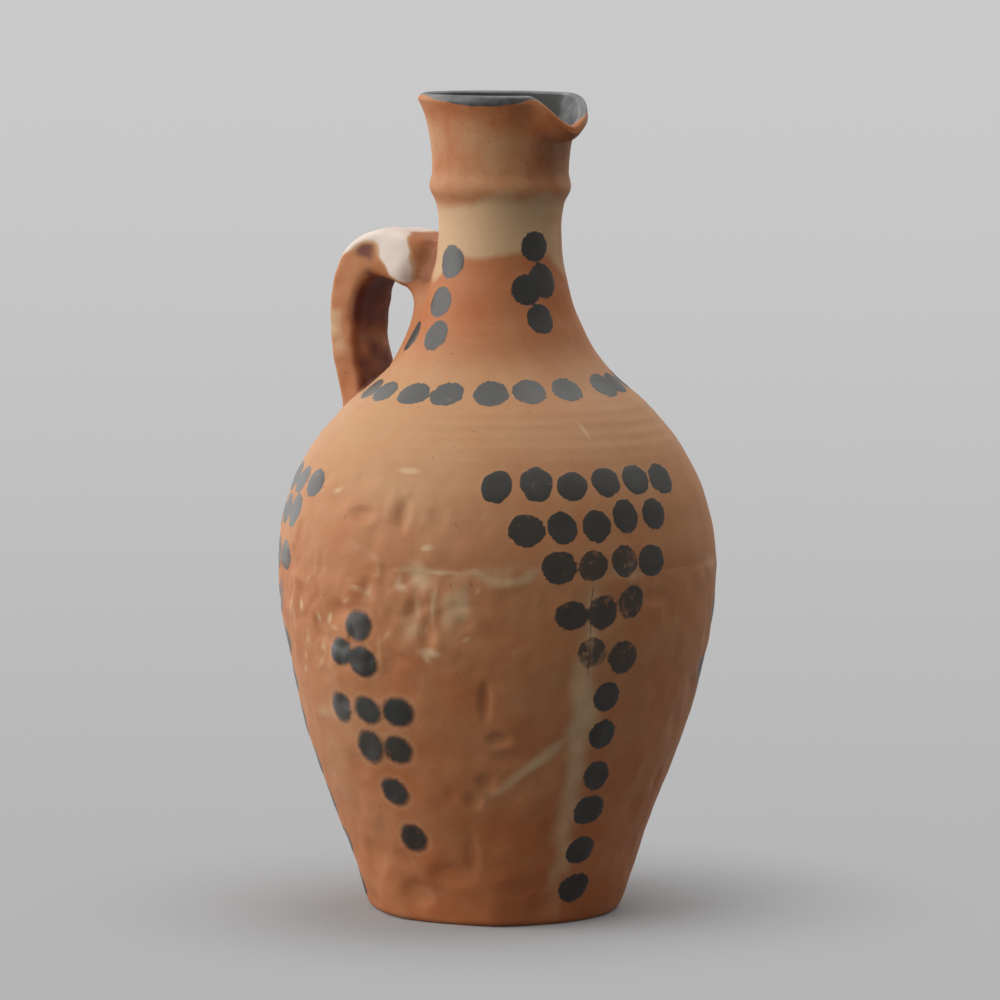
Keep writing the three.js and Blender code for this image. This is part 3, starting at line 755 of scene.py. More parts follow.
class Pot:
    """The turned shape of the jug: its outline, walls, uneven surface and painted dots."""

    def __init__(self, sizes):
        self.sizes = sizes
        foot = Vector((sizes.foot_radius, 0.0))
        belly = Vector((sizes.belly_radius, sizes.belly_height))
        neck_seam = Vector((sizes.neck_seam_radius, sizes.neck_seam_height))
        waist = Vector((sizes.waist_radius, sizes.waist_height))
        collar = Vector((sizes.collar_radius, sizes.collar_height))
        lip = Vector((
            sizes.lip_radius - WALL_LIP / 2 * (1 - math.cos(LIP_LEAN)),
            sizes.top_height - WALL_LIP / 2 * (1 + math.sin(LIP_LEAN)),
        ))
        spans = (
            curve(foot, arm(FOOT_LEAN, FOOT_RUN), belly, arm(0, BELLY_RUN_BELOW)),
            curve(belly, arm(0, BELLY_RUN_ABOVE), neck_seam, arm(-SHOULDER_LEAN, SHOULDER_RUN)),
            curve(neck_seam, arm(-SHOULDER_LEAN, NECK_RUN), waist, arm(0, WAIST_RUN_BELOW)),
            curve(waist, arm(0, WAIST_RUN_ABOVE), collar, arm(0, COLLAR_RUN_BELOW)),
            curve(collar, arm(0, COLLAR_RUN_ABOVE), lip, arm(LIP_LEAN, LIP_RUN)),
        )
        self.line = Line([point for part in spans for point in part])
        self.heights = [point.y for point in self.line.points]
        ends = [self.length_at(end.y) for end in (belly, neck_seam, waist, collar)]
        self.belly_at, self.neck_seam_at, self.waist_at, self.collar_at = ends
        self.lip_at = self.line.lengths[-1]
        self.belly_seam_at = self.belly_at + BELLY_SEAM_RISE
        self.ridge_at = self.waist_at + RIDGE_ABOVE_WAIST
        self.mouth_seam_at = self.ridge_at - RIDGE_SKIRT
        self.wall_stops = (0.0, *ends, self.lip_at)
        self.walls = (WALL_FOOT, WALL_BELLY, WALL_NECK_SEAM, WALL_WAIST, WALL_COLLAR, WALL_LIP)
        self.dots = painted_dots(self)
        self.dot_tree = tree_of([dot.centre for dot in self.dots])
        self.dents = worked_dents(self)
        self.dent_tree = tree_of([dent.centre for dent in self.dents])
        self.smears = (*SMEARS, *strewn_smears(DRIPS, self.belly_seam_at), *strewn_smears(SCUFFS, 0.0))
        noise.seed_set(SMEAR_SEED)

    def length_at(self, height):
        """Place up the wall at a height."""
        index = min(len(self.heights) - 2, max(0, bisect.bisect_right(self.heights, height) - 1))
        share = (height - self.heights[index]) / (self.heights[index + 1] - self.heights[index])
        return mix(self.line.lengths[index], self.line.lengths[index + 1], share)

    def wall(self, length):
        """Thickness of the wall."""
        index = min(len(self.walls) - 2, max(0, bisect.bisect_right(self.wall_stops, length) - 1))
        start, end = self.wall_stops[index:index + 2]
        return mix(self.walls[index], self.walls[index + 1], (length - start) / (end - start))

    def skin(self, length, proud=0.0):
        """Radius and height of the outside, moved out by proud, and the way out."""
        point, along = self.line.at(length)
        out = Vector((along.y, -along.x))
        ridge = RIDGE_PROUD * swell((length - self.ridge_at) / RIDGE_HALF_WIDTH)
        return point + out * (ridge + proud), out

    def inside(self, length):
        """Radius and height of the inside."""
        point, along = self.line.at(length)
        return point - Vector((along.y, -along.x)) * self.wall(length)

    def radius_at(self, height):
        """Radius of the outside at a height."""
        return self.skin(self.length_at(height))[0].x

    def place(self, angle, length, proud=0.0):
        """A point on the outside."""
        point = self.skin(length, proud)[0]
        return Vector((point.x * math.cos(angle), point.x * math.sin(angle), point.y))

    def relief(self, at, length):
        """How far the hand-worked surface stands off the plain outline."""
        sizes = self.sizes
        above_seam = length - self.belly_seam_at
        thrown = smooth(above_seam, *THROWN_ABOVE_SEAM)
        worked = swell(turn_between(math.atan2(at.y, at.x), WORKED_ANGLE) / WORKED_SPREAD)
        worked = smooth(worked * swell((length - WORKED_HEIGHT) / WORKED_TALL), 0.0, WORKED_FULL)
        wander = noise.noise(at * WANDER_SCALE)
        ring = math.sin(math.tau * length / RINGS_PITCH + RINGS_WANDER * wander)
        ring *= swell((length - RINGS_MIDDLE) / RINGS_HALF_SPAN) * smooth(wander, *RINGS_PATCHES)
        broad = math.sin(math.tau * length / BROAD_RINGS_PITCH + BROAD_RINGS_WANDER * wander)
        rings = thrown * (sizes.ring_depth * ring + BROAD_RINGS_DEPTH * broad)
        uneven = rough(at, BODY_GRAINS)
        if thrown == 1.0 and worked == 0.0:
            return uneven * THROWN_UNEVEN + rings
        foot = rough(at, FOOT_GRAINS) * (1 - smooth(length, *FOOT_UNEVEN))
        creased = 1 - smooth(abs(noise.noise(at * CREASE.scale)), 0.0, CREASE_EDGE)
        paddled = PADDLE.depth * noise.fractal(at * PADDLE.scale, *PADDLE_OCTAVES)
        paddled += rough(at, PADDLE_FINE_GRAINS)
        paddled += worked * (rough(at, WORKED_GRAINS) - CREASE.depth * creased)
        paddled *= 1 - PADDLE_LOST_ABOVE * thrown
        handled = max(1 - thrown, worked) * (sizes.paddle_depth * paddled - self.dent_depth(at))
        groove = SEAM_GROOVE * swell(above_seam / SEAM_GROOVE_HALF_WIDTH)
        groove *= smooth(wander, *SEAM_GROOVE_PATCHES)
        return uneven + rings + foot + handled + SEAM_LEDGE * thrown - groove

    def mouth_shade(self, at, length, angle):
        """Share of painted shade at a place: the side of the mouth beyond the spout, away from the light."""
        side = smooth(math.sin(angle - FRONT_ANGLE) + rough(at, (MOUTH_SHADE_RAGGED,)), *MOUTH_SHADE_SIDE)
        return MOUTH_SHADE * side * smooth(length - self.ridge_at, *MOUTH_SHADE_ABOVE_RIDGE)

    def dent_depth(self, at):
        """Depth of the dents at a place."""
        depth = 0.0
        for _, index, _ in self.dent_tree.find_range(at, DENT_REACH):
            dent = self.dents[index]
            offset = at - dent.centre
            across = offset.dot(dent.across) / dent.width
            up = offset.z / dent.tall
            reach = across * across + up * up
            depth += dent.depth * math.exp(-reach * reach)
        return depth

    def dot_edge(self, at):
        """Distance to the edge of the nearest dot, negative inside, with that dot's wear and bleed."""
        best = (DOT_REACH, 0.0, 0.0)
        for _, index, _ in self.dot_tree.find_range(at, DOT_REACH):
            dot = self.dots[index]
            offset = at - dot.centre
            across = offset.dot(dot.across) / dot.width
            up = offset.dot(dot.up) / dot.tall
            reach = math.hypot(across, up)
            around = Vector((across, up, index * DOT_WOBBLE_STEP))
            wobble = noise.noise(around * DOT_WOBBLE_SCALE / max(reach, DOT_WOBBLE_CORE))
            edge = (reach - 1 - DOT_WOBBLE * wobble) * dot.width
            if edge < best[0]:
                best = (edge, dot.wear, dot.bleed)
        return best

    def smeared(self, at, length, angle):
        """Share of pale slip at a place, with a little painted light among the smears."""
        wander = noise.noise_vector(at * SMEAR_SCALE) * SMEAR_WANDER
        share = 0.0
        for smear in self.smears:
            reach = smear.long * SMEAR_REACH
            up = length - smear.height
            if abs(up) > reach:
                continue
            across = turn_between(angle, math.radians(smear.angle)) * at.xy.length
            if abs(across) < reach:
                loose = min(1.0, smear.wide / SMEAR_LOOSE_WIDTH)
                across += wander.x * loose
                up += wander.y * loose
                cosine, sine = math.cos(smear.turn), math.sin(smear.turn)
                along = (across * cosine + up * sine) / smear.long
                aside = (up * cosine - across * sine) / smear.wide
                share = max(share, smear.strength * math.exp(-along * along - aside * aside))
        return max(share, self.seam_slip(at, length, wander), self.pale_band(at, length, angle, wander))

    def seam_slip(self, at, length, wander):
        """Share of the slip left in the belly seam."""
        near = swell((length - self.belly_seam_at + wander.z) / SEAM_SLIP_HALF_WIDTH)
        return SEAM_SLIP * near * smooth(noise.noise(at * SEAM_SLIP_SCALE), *SEAM_SLIP_PATCHES)

    def pale_band(self, at, length, angle, wander):
        """Share of the band on the neck, which dips and leans away from the front."""
        aside = angle - FRONT_ANGLE
        foot = PALE_BAND_FOOT + rough(at, (PALE_BAND_RAGGED,))
        foot += PALE_BAND_WAVE * math.sin(2 * angle + PALE_BAND_WAVE_TURN)
        foot -= PALE_BAND_DIP * (1 - smooth(math.cos(aside), *PALE_BAND_DIP_SIDE))
        top = PALE_BAND_TOP - PALE_BAND_LEAN * smooth(-math.sin(aside), *PALE_BAND_LEAN_SIDE)
        above = length + PALE_BAND_TOP_WANDER * wander.x - top
        band = smooth(length - foot, *PALE_BAND_FOOT_FADE) * (1 - smooth(above, *PALE_BAND_TOP_FADE))
        facing = swell(turn_between(angle, PALE_BAND_ANGLE) / PALE_BAND_SPREAD)
        return band * mix(PALE_BAND_LEAST, 1.0, facing)


Dot = namedtuple("Dot", "centre across up width tall wear bleed")
WorkedDent = namedtuple("WorkedDent", "centre across width tall depth")


def tree_of(points):
    """The points, ready to be searched by place."""
    tree = kdtree.KDTree(len(points))
    for index, point in enumerate(points):
        tree.insert(point, index)
    tree.balance()
    return tree


def sideways(angle):
    """The level direction along the wall, counter-clockwise from above."""
    return Vector((-math.sin(angle), math.cos(angle), 0.0))


def painted_dots(pot):
    """Every finger dot: a ring on the shoulder, bunches, sprays and clusters on the neck."""
    chance = random.Random(DOT_SEED)
    dots = []

    def press(angle, length, wear, bleed, broad=1.0):
        """Adds one dot; a broad one lies level."""
        size = pot.sizes.dot_width / 2 * chance.uniform(*DOT_SIZES)
        stretch = chance.uniform(*DOT_STRETCHES) * broad
        lean = chance.uniform(*DOT_LEANS) if broad == 1.0 else 0.0
        up = pot.place(angle, length + DOT_NEARBY) - pot.place(angle, length - DOT_NEARBY)
        up.normalize()
        across = sideways(angle)
        turned = across * math.cos(lean) + up * math.sin(lean)
        raised = up * math.cos(lean) - across * math.sin(lean)
        worn = min(1.0, wear * chance.uniform(*DOT_WEARS))
        centre = pot.place(angle, length)
        dots.append(Dot(centre, turned, raised, size * stretch, size / stretch, worn, bleed))

    def motif(rows, degrees, drop=0.0):
        """Adds rows of dots about a line up the wall."""
        middle = math.radians(degrees)
        for row in rows:
            for index in range(row.count):
                across = row.left + row.pitch * index
                length = row.height - drop + row.slope * across + chance.uniform(*DOT_SHIFTS_UP)
                angle = middle + (across + chance.uniform(*DOT_SHIFTS_ACROSS)) / pot.skin(length)[0].x
                press(angle, length, row.wear, row.bleed)

    tail = [
        Row(1, BUNCH_TAIL_TOP - BUNCH_TAIL_PITCH * index, BUNCH_TAIL_LEFT + BUNCH_TAIL_DRIFT * index,
            0, 0, BUNCH_TAIL_WEAR, BUNCH_TAIL_BLEED)
        for index in range(BUNCH_TAIL)
    ]
    for degrees, drop in zip(BUNCH_ANGLES, BUNCH_DROPS):
        motif((*BUNCH_ROWS, *tail), degrees, drop)
    for degrees, drop in zip(SPRAY_ANGLES, SPRAY_DROPS):
        motif(SPRAY_ROWS, degrees, drop)
    for rows, angles in ((NECK_ROWS, NECK_ANGLES), (HANDLE_SIDE_ROWS, HANDLE_SIDE_ANGLES)):
        for degrees in angles:
            motif(rows, degrees)
    for degrees in RING_ANGLES:
        angle = math.radians(degrees)
        tilt = RING_TILT * math.sin(angle - math.radians(RING_TILT_ANGLE))
        press(angle, RING_HEIGHT + tilt, RING_WEAR, 0.0, RING_BROAD)
    return dots


def worked_dents(pot):
    """The dents of the fingers and the paddle."""
    chance = random.Random(DENT_SEED)
    spread = [
        Dent(chance.uniform(*DENT_ANGLES),
             pot.belly_seam_at * (1 - chance.random() ** DENT_CROWDING * DENT_LOWEST_SHARE) - DENT_BELOW_SEAM,
             chance.uniform(*DENT_WIDTHS), chance.uniform(*DENT_TALLS), chance.uniform(*DENT_DEPTHS))
        for _ in range(DENT_COUNT)
    ]
    spread += [
        Dent(math.degrees(WORKED_ANGLE) + chance.uniform(*WORKED_DENT_ANGLES),
             WORKED_HEIGHT + chance.uniform(*WORKED_DENT_RISES), chance.uniform(*WORKED_DENT_WIDTHS),
             chance.uniform(*WORKED_DENT_TALLS), chance.uniform(*WORKED_DENT_DEPTHS))
        for _ in range(WORKED_DENT_COUNT)
    ]
    return [
        WorkedDent(pot.place(math.radians(dent.angle), dent.height), sideways(math.radians(dent.angle)),
                   dent.width, dent.tall, dent.depth)
        for dent in (*DENTS, *spread)
    ]


def strewn_smears(scatter, base):
    """Small smears of pale slip strewn over part of the wall, at heights from a base."""
    chance = random.Random(scatter.seed)
    return [
        Smear(chance.uniform(*scatter.angles), base + chance.uniform(*scatter.heights),
              chance.uniform(*scatter.lengths), chance.uniform(*scatter.widths),
              math.radians(chance.uniform(*scatter.turns)), chance.uniform(*scatter.strengths))
        for _ in range(scatter.count)
    ]


# Turned pieces

Station = namedtuple("Station", "point length shown")


def spin_profile(stations, closed):
    """The stations spun round the axis, with each vertex's place up the wall and whether it shows."""
    bm = bmesh.new()
    length_layer = bm.verts.layers.float.new("length")
    shown_layer = bm.verts.layers.float.new("shown")
    verts = []
    for station in stations:
        vert = bm.verts.new((station.point.x, 0.0, station.point.y))
        vert[length_layer] = station.length
        vert[shown_layer] = station.shown
        verts.append(vert)
    pairs = list(zip(verts, verts[1:]))
    if closed:
        pairs.append((verts[-1], verts[0]))
    edges = [bm.edges.new(pair) for pair in pairs]
    bmesh.ops.spin(bm, geom=verts + edges, cent=(0, 0, 0), axis=(0, 0, 1), angle=math.tau, steps=STEPS_ROUND,
                   use_merge=True)
    bmesh.ops.remove_doubles(bm, verts=bm.verts, dist=WELD_DISTANCE)
    bmesh.ops.recalc_face_normals(bm, faces=bm.faces)
    return bm


def work_surface(bm, pot, reshape=None):
    """Gives a turned piece its hand-worked surface, and marks where its paints lie."""
    length_layer = bm.verts.layers.float["length"]
    shown_layer = bm.verts.layers.float["shown"]
    marks = {name: bm.verts.layers.float.new(name) for name in MARKS}
    for vert in bm.verts:
        angle = math.atan2(vert.co.y, vert.co.x)
        length, shown = vert[length_layer], vert[shown_layer]
        around = Vector((math.cos(angle), math.sin(angle)))
        edge, wear, bleed = DOT_REACH, 0.0, 0.0
        if shown > 0:
            at = pot.place(angle, length)
            edge, wear, bleed = pot.dot_edge(at)
            proud = pot.relief(at, length) + pot.sizes.dot_proud * (1 - smooth(edge, *DOT_RIM))
            out = pot.skin(length)[1]
            vert.co += Vector((around.x * out.x, around.y * out.x, out.y)) * proud * shown
            vert[marks["pale"]] = pot.smeared(at, length, angle)
            # painted shade on the side of the mouth, kept in the same mark as the handle's fire marks
            vert[marks["fire_and_shade"]] = pot.mouth_shade(at, length, angle)
        elif vert.co.xy.length > INSIDE_RINGS_RADIUS:
            groove = INSIDE_RINGS_DEPTH * math.sin(math.tau * vert.co.z / INSIDE_RINGS_PITCH + angle)
            vert.co += Vector((around.x, around.y, 0.0)) * groove
            if length < pot.lip_at + WELD_DISTANCE:
                # painted shade on the slip inside the mouth: full beyond the spout's channel, lighter in the
                # channel
                aside = abs(turn_between(angle, SPOUT_TURN))
                beyond = smooth(aside, CHANNEL_ANGLE, CHANNEL_ANGLE + CHANNEL_EDGE)
                vert[marks["inside_shade"]] = mix(CHANNEL_SHADE, 1.0, beyond)
        vert[marks["dot"]] = edge * MILLIMETRES
        vert[marks["wear"]] = wear
        vert[marks["bleed"]] = bleed
        vert[marks["dark"]] = dark_share(pot, angle, length, shown, vert.co.z)
        vert[marks["worn"]] = swell(turn_between(angle, WORN_ANGLE) / WORN_SPREAD)
        crack = turn_between(angle, math.radians(CRACK_ANGLE)) * pot.sizes.belly_radius
        crack -= CRACK_DRIFT * noise.noise(Vector((0, 0, vert.co.z * CRACK_SCALE)))
        vert[marks["crack"]] = crack * MILLIMETRES
        if reshape:
            vert.co = reshape(vert.co)


def dark_share(pot, angle, length, shown, height):
    """Share of dark slip: the lip, a run over its outer edge, and the inside of the mouth."""
    if shown == 0 and length < pot.lip_at + WELD_DISTANCE:
        return smooth(height, *DARK_INSIDE)
    run = mix(LIP_RUN_LEAST, LIP_RUN_MOST, swell(turn_between(angle, LIP_RUN_ANGLE) / LIP_RUN_SPREAD))
    run -= LIP_WORN * swell(turn_between(angle, SPOUT_TURN) / LIP_WORN_SPREAD)
    around = Vector((math.cos(angle), math.sin(angle), LIP_RUN_LAYER))
    edge = pot.lip_at - run - LIP_RUN_RAGGED * noise.noise(around * LIP_RUN_SCALE)
    return smooth(length - edge, *LIP_RUN_FADE)


def round_corner(start, corner, end):
    """Points of a rounded corner between two straight runs."""
    leave = start.lerp(corner, CORNER_FULLNESS)
    arrive = end.lerp(corner, CORNER_FULLNESS)
    return geometry.interpolate_bezier(start, leave, arrive, end, CORNER_STEPS)


def across_seam(pot, length):
    """Stations through the wall where two sections meet, from the outside in."""
    outer = pot.skin(length)[0]
    return [Station(outer.lerp(pot.inside(length), share), length, 0.0) for share in SEAM_SHARES]


def inner_stations(pot, start, end):
    """Stations along the inside of the wall."""
    return [Station(pot.inside(length), length, 0.0) for length in steps_along(start, end, INSIDE_STEP)]


def outer_stations(pot, start, end, step):
    """Stations along the outside of the wall."""
    return [Station(pot.skin(length)[0], length, 1.0) for length in steps_along(start, end, step)]


def lower_stations(pot):
    """Profile of the lower body, from the middle of its underside to the middle of its floor."""
    flat = pot.sizes.foot_radius - FOOT_ROUND
    corner_at = next(
        length for length in steps_along(0, pot.belly_at, OUTSIDE_STEP)
        if pot.inside(length).y >= FLOOR + FLOOR_ROUND
    )
    wall_foot = pot.inside(corner_at)
    under = [Station(Vector((radius, 0.0)), 0.0, 0.0) for radius in steps_along(0.0, flat, INSIDE_STEP)]
    foot = round_corner(Vector((flat, 0.0)), Vector((pot.sizes.foot_radius, 0.0)), pot.skin(FOOT_ROUND)[0])
    edge = [
        Station(point, FOOT_ROUND * index / (CORNER_STEPS - 1), index / (CORNER_STEPS - 1))
        for index, point in enumerate(foot)
    ]
    floor_edge = Vector((wall_foot.x - FLOOR_ROUND, FLOOR))
    bend = round_corner(wall_foot, Vector((wall_foot.x, FLOOR)), floor_edge)
    floor = [Vector((radius, FLOOR)) for radius in steps_along(floor_edge.x, 0.0, INSIDE_STEP)]
    return [
        *under,
        *edge[1:],
        *outer_stations(pot, FOOT_ROUND, pot.belly_seam_at, OUTSIDE_STEP)[1:],
        *across_seam(pot, pot.belly_seam_at),
        *inner_stations(pot, pot.belly_seam_at, corner_at),
        *[Station(point, 0.0, 0.0) for point in (*bend[1:], *floor[1:])],
    ]


def ring_stations(pot, seam_below, seam_above, step):
    """Closed profile of a section between two seams."""
    return [
        *outer_stations(pot, seam_below, seam_above, step),
        *across_seam(pot, seam_above),
        *inner_stations(pot, seam_above, seam_below),
        *reversed(across_seam(pot, seam_below)),
    ]


def mouth_stations(pot):
    """Closed profile of the mouth, with its lip rounded over."""
    point, along = pot.line.at(pot.lip_at)
    out = Vector((along.y, -along.x))
    middle = point - out * WALL_LIP / 2
    lip = []
    for index in range(1, LIP_STEPS):
        bend = math.pi * index / LIP_STEPS
        lip.append(Station(middle + (out * math.cos(bend) + along * math.sin(bend)) * WALL_LIP / 2,
                           pot.lip_at + WALL_LIP / 2 * bend, 0.0))
    return [
        *outer_stations(pot, pot.mouth_seam_at, pot.lip_at, MOUTH_STEP),
        *lip,
        *inner_stations(pot, pot.lip_at, pot.mouth_seam_at),
        *reversed(across_seam(pot, pot.mouth_seam_at)),
    ]


def pinched(pot):
    """How the potter's fingers draw out the spout and press in the wall beside it."""
    sizes = pot.sizes

    def reshape(at):
        """Where a point of the turned mouth ends up."""
        angle = turn_between(math.atan2(at.y, at.x), SPOUT_TURN)
        spread = SPOUT_STEEP_ANGLE if angle < 0 else SPOUT_EASY_ANGLE
        rise = smooth(at.z, sizes.top_height - SPOUT_DEPTH, sizes.top_height - SPOUT_ROLL)
        drawn = swell(angle / spread) * rise
        crease = max(0.0, 1 - abs(angle) / SPOUT_CREASE_ANGLE) * rise
        pressed = swell((abs(angle) - spread) / PINCH_HALF_ANGLE)
        pressed *= smooth(at.z, sizes.top_height - PINCH_DEPTH, sizes.top_height)
        radius = at.xy.length
        drawn_out = sizes.spout_reach * drawn + SPOUT_FOLD * crease - PINCH_INWARD * pressed
        stretch = (radius + drawn_out) / radius
        drop = sizes.spout_dip * drawn + SPOUT_CREASE * crease
        return Vector((at.x * stretch, at.y * stretch, at.z - drop))

    return reshape


def make_piece(name, bm, material):
    """Turns a bmesh into a piece that stands for its CAD node."""
    for face in bm.faces:
        face.smooth = True
    for edge in bm.edges:
        edge.smooth = edge.calc_face_angle(0.0) < SHARP_ANGLE
    mesh = bpy.data.meshes.new(name + "_clay")
    bm.to_mesh(mesh)
    bm.free()
    mesh.materials.append(material)
    piece = bpy.data.objects.new(name + "_clay", mesh)
    bpy.context.scene.collection.objects.link(piece)
    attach(piece, "root")
    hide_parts(name)


# Handle and its wads


class Strap:
    """The pulled handle: a middle line in the plane of the spout, and a rounded oblong section."""

    def __init__(self, pot):
        sizes = pot.sizes
        self.pot = pot
        root_height = sizes.waist_height - HANDLE_ROOT_DROP
        foot_radius = sizes.handle_reach - HANDLE_FOOT_INSET
        foot_length = next(
            length for length in steps_along(pot.belly_at, pot.waist_at, STRAP_FOOT_STEP)
            if pot.skin(length)[0].x <= foot_radius
        )
        root = Vector((-pot.radius_at(root_height), root_height))
        start = root + Vector((HANDLE_EMBED, 0.0))
        widest = Vector((-sizes.handle_reach, root_height - HANDLE_WIDEST_DROP))
        foot = Vector((-foot_radius, pot.skin(foot_length)[0].y))
        leave = Vector((-math.cos(HANDLE_LEAVE_RISE), math.sin(HANDLE_LEAVE_RISE)))
        settle = Vector((HANDLE_FOOT_INSET, foot.y - widest.y)).normalized()
        down = Vector((0.0, -1.0))
        self.line = Line([
            start,
            *curve(root, leave * HANDLE_LEAVE_RUN, widest, down * HANDLE_BEND_RUN),
            *curve(widest, down * HANDLE_LIMB_RUN, foot, settle * HANDLE_FOOT_RUN),
            foot + settle * HANDLE_EMBED,
        ])
        self.length = self.line.lengths[-1]

    def plain_point(self, place, bend):
        """A point of the strap's surface: bend 0 is its -Y side, a quarter turn its upper side."""
        sizes = self.pot.sizes
        middle, along = self.line.at(place)
        half = sizes.handle_thickness / 2
        thinned = smooth(place, HANDLE_EMBED, HANDLE_EMBED + HANDLE_TAPER)
        under = mix(sizes.handle_root_thickness - half, half, thinned)
        spread = smooth(place, HANDLE_EMBED, HANDLE_EMBED + HANDLE_ROOT_RUN)
        width = mix(HANDLE_ROOT_WIDTH, sizes.handle_width, spread)
        across = -squared(math.cos(bend), HANDLE_SQUARENESS) * width / 2
        lift = squared(math.sin(bend), HANDLE_SQUARENESS) * (half if math.sin(bend) > 0 else under)
        return Vector((middle.x + along.y * lift, across, middle.y - along.x * lift))

    def point(self, place, bend):
        """The same, a little uneven from the hand."""
        at = self.plain_point(place, bend)
        middle, _ = self.line.at(place)
        out = (at - Vector((middle.x, 0.0, middle.y))).normalized()
        return at + out * rough(at, STRAP_GRAINS)

    def meets(self, bend, near, far):
        """Place where this side of the strap runs into the pot, between one clear of it and one inside."""
        for _ in range(MEETING_TRIES):
            halfway = (near + far) / 2
            at = self.plain_point(halfway, bend)
            if at.xy.length > self.pot.radius_at(at.z):
                near = halfway
            else:
                far = halfway
        return near


def strap_mesh(strap):
    """A bar drawn along the handle's line, with its ends following the pot's wall."""
    middle = strap.length / 2
    count = math.ceil((strap.length - 2 * HANDLE_EMBED) / STRAP_STEP)
    bm = bmesh.new()
    bmesh.ops.create_cone(bm, cap_ends=True, segments=STRAP_SIDES, radius1=1.0, radius2=1.0, depth=2.0)
    long_edges = [edge for edge in bm.edges if abs(edge.verts[0].co.z - edge.verts[1].co.z) > 1.0]
    bmesh.ops.subdivide_edges(bm, edges=long_edges, cuts=count - 1, use_grid_fill=True)
    marks = {name: bm.verts.layers.float.new(name) for name in MARKS}
    ends = {}
    for vert in bm.verts:
        bend = math.atan2(vert.co.y, vert.co.x)
        share = (1 - vert.co.z) / 2
        key = round(bend * STRAP_SIDES / math.tau)
        if key not in ends:
            ends[key] = (strap.meets(bend, middle, 0.0) - HANDLE_SINK,
                         strap.meets(bend, middle, strap.length) + HANDLE_SINK)
        place = mix(*ends[key], share)
        vert.co = strap.point(place, bend)
        mark_handle(vert, marks, place, bend)
    bmesh.ops.recalc_face_normals(bm, faces=bm.faces)
    return bm


def oval_share(oval, place, lift):
    """Share of a soft oval of paint at a place on the strap."""
    along = (place - oval.place) / oval.run
    aside = (lift - oval.lift) / oval.spread
    return math.exp(-along * along - aside * aside)


def pale_cap(from_neck, lift, ragged):
    """Share of the pale slip over the strap's bend, whose edge climbs with the distance from the neck."""
    edge = mix(*CAP_EDGE, (from_neck - CAP_EDGE_FROM) / CAP_EDGE_RUN)
    share = smooth(lift + CAP_RAGGED * ragged - edge, *CAP_SOFT) * smooth(lift, *CAP_INNER)
    share *= smooth(from_neck - CAP_LEAN * lift + CAP_START_RAGGED * ragged, *CAP_START)
    return share * (1 - smooth(from_neck + CAP_END_RAGGED * ragged, *CAP_END))


def mark_handle(vert, marks, place, bend):
    """Paint on the strap: pale slip over the bend, fire marks, and a smear lower down, with painted shade at
    the root, under the fire mark, on the inner face and on the near side's inner half, and a painted
    highlight on the inner face.
    """
    from_neck = place - HANDLE_EMBED
    lift = squared(math.sin(bend), HANDLE_SQUARENESS)
    near = smooth(math.cos(bend), *NEAR_SIDE)
    ragged = rough(vert.co, STRAP_RAGGED_GRAINS)
    loose = 1 + STRAP_PAINT_RAGGED * ragged
    limb = smooth(from_neck, *LIMB_START)

    streak = oval_share(STREAK, from_neck + STREAK_RAGGED * ragged + STREAK_LEAN * lift, lift)
    upper = smooth(from_neck, *UPPER_WASH_START) * (1 - smooth(from_neck, *UPPER_WASH_END))
    washed = near * max(STREAK_STRENGTH * streak * loose, UPPER_WASH * upper)
    inner = smooth(-math.sin(bend) + INNER_SHADE_RAGGED * ragged, *INNER_SHADE_FACE)
    # painted highlight on the inner face
    inside = inner * oval_share(INNER_HIGHLIGHT, from_neck + INNER_HIGHLIGHT_RAGGED * ragged, lift)

    mark = FIRE_MARK_STRENGTH * near * oval_share(FIRE_MARK, from_neck, lift + FIRE_MARK_RAGGED * ragged)
    # painted shadow under the fire mark
    under = UNDER_SHADOW_STRENGTH * near * oval_share(UNDER_SHADOW, from_neck, lift)
    # painted shade on the inner face, cleared where the painted highlight lies
    inner *= INNER_SHADE * limb * (1 - INNER_SHADE_CLEARED * inside)
    # painted shade at the root, where the strap meets the neck
    root = ROOT_SHADE * near * (1 - smooth(from_neck + ROOT_SHADE_RAGGED * ragged, *ROOT_SHADE_END))
    shade = SHADE * near * limb * smooth(SHADE_RAGGED * ragged - lift, *SHADE_FACE)
    foot = FOOT_BURNT * smooth(from_neck + FOOT_BURNT_RAGGED * ragged, *FOOT_BURNT_START)
    foot *= smooth(FOOT_BURNT_FACE_RAGGED * ragged - lift, *FOOT_BURNT_FACE) * (1 - streak)

    pale = max(pale_cap(from_neck, lift, ragged), washed, INNER_HIGHLIGHT_STRENGTH * inside)
    vert[marks["dot"]] = DOT_REACH * MILLIMETRES
    vert[marks["pale"]] = pale * max(0.0, 1 - mark)
    # fire marks and painted shade share one mark
    vert[marks["fire_and_shade"]] = max(mark, root, shade, under, inner * loose, foot)
    vert[marks["crack"]] = DOT_REACH * MILLIMETRES
    vert[marks["strap"]] = 1.0


def by_side(bend, aside, over, under, tightness=2):
    """A size that differs over, under and beside the strap."""
    up = max(0.0, math.sin(bend)) ** tightness
    down = max(0.0, -math.sin(bend)) ** tightness
    return aside * max(0.0, 1 - up - down) + over * up + under * down


Wad = namedtuple("Wad", "near far along out tightness")


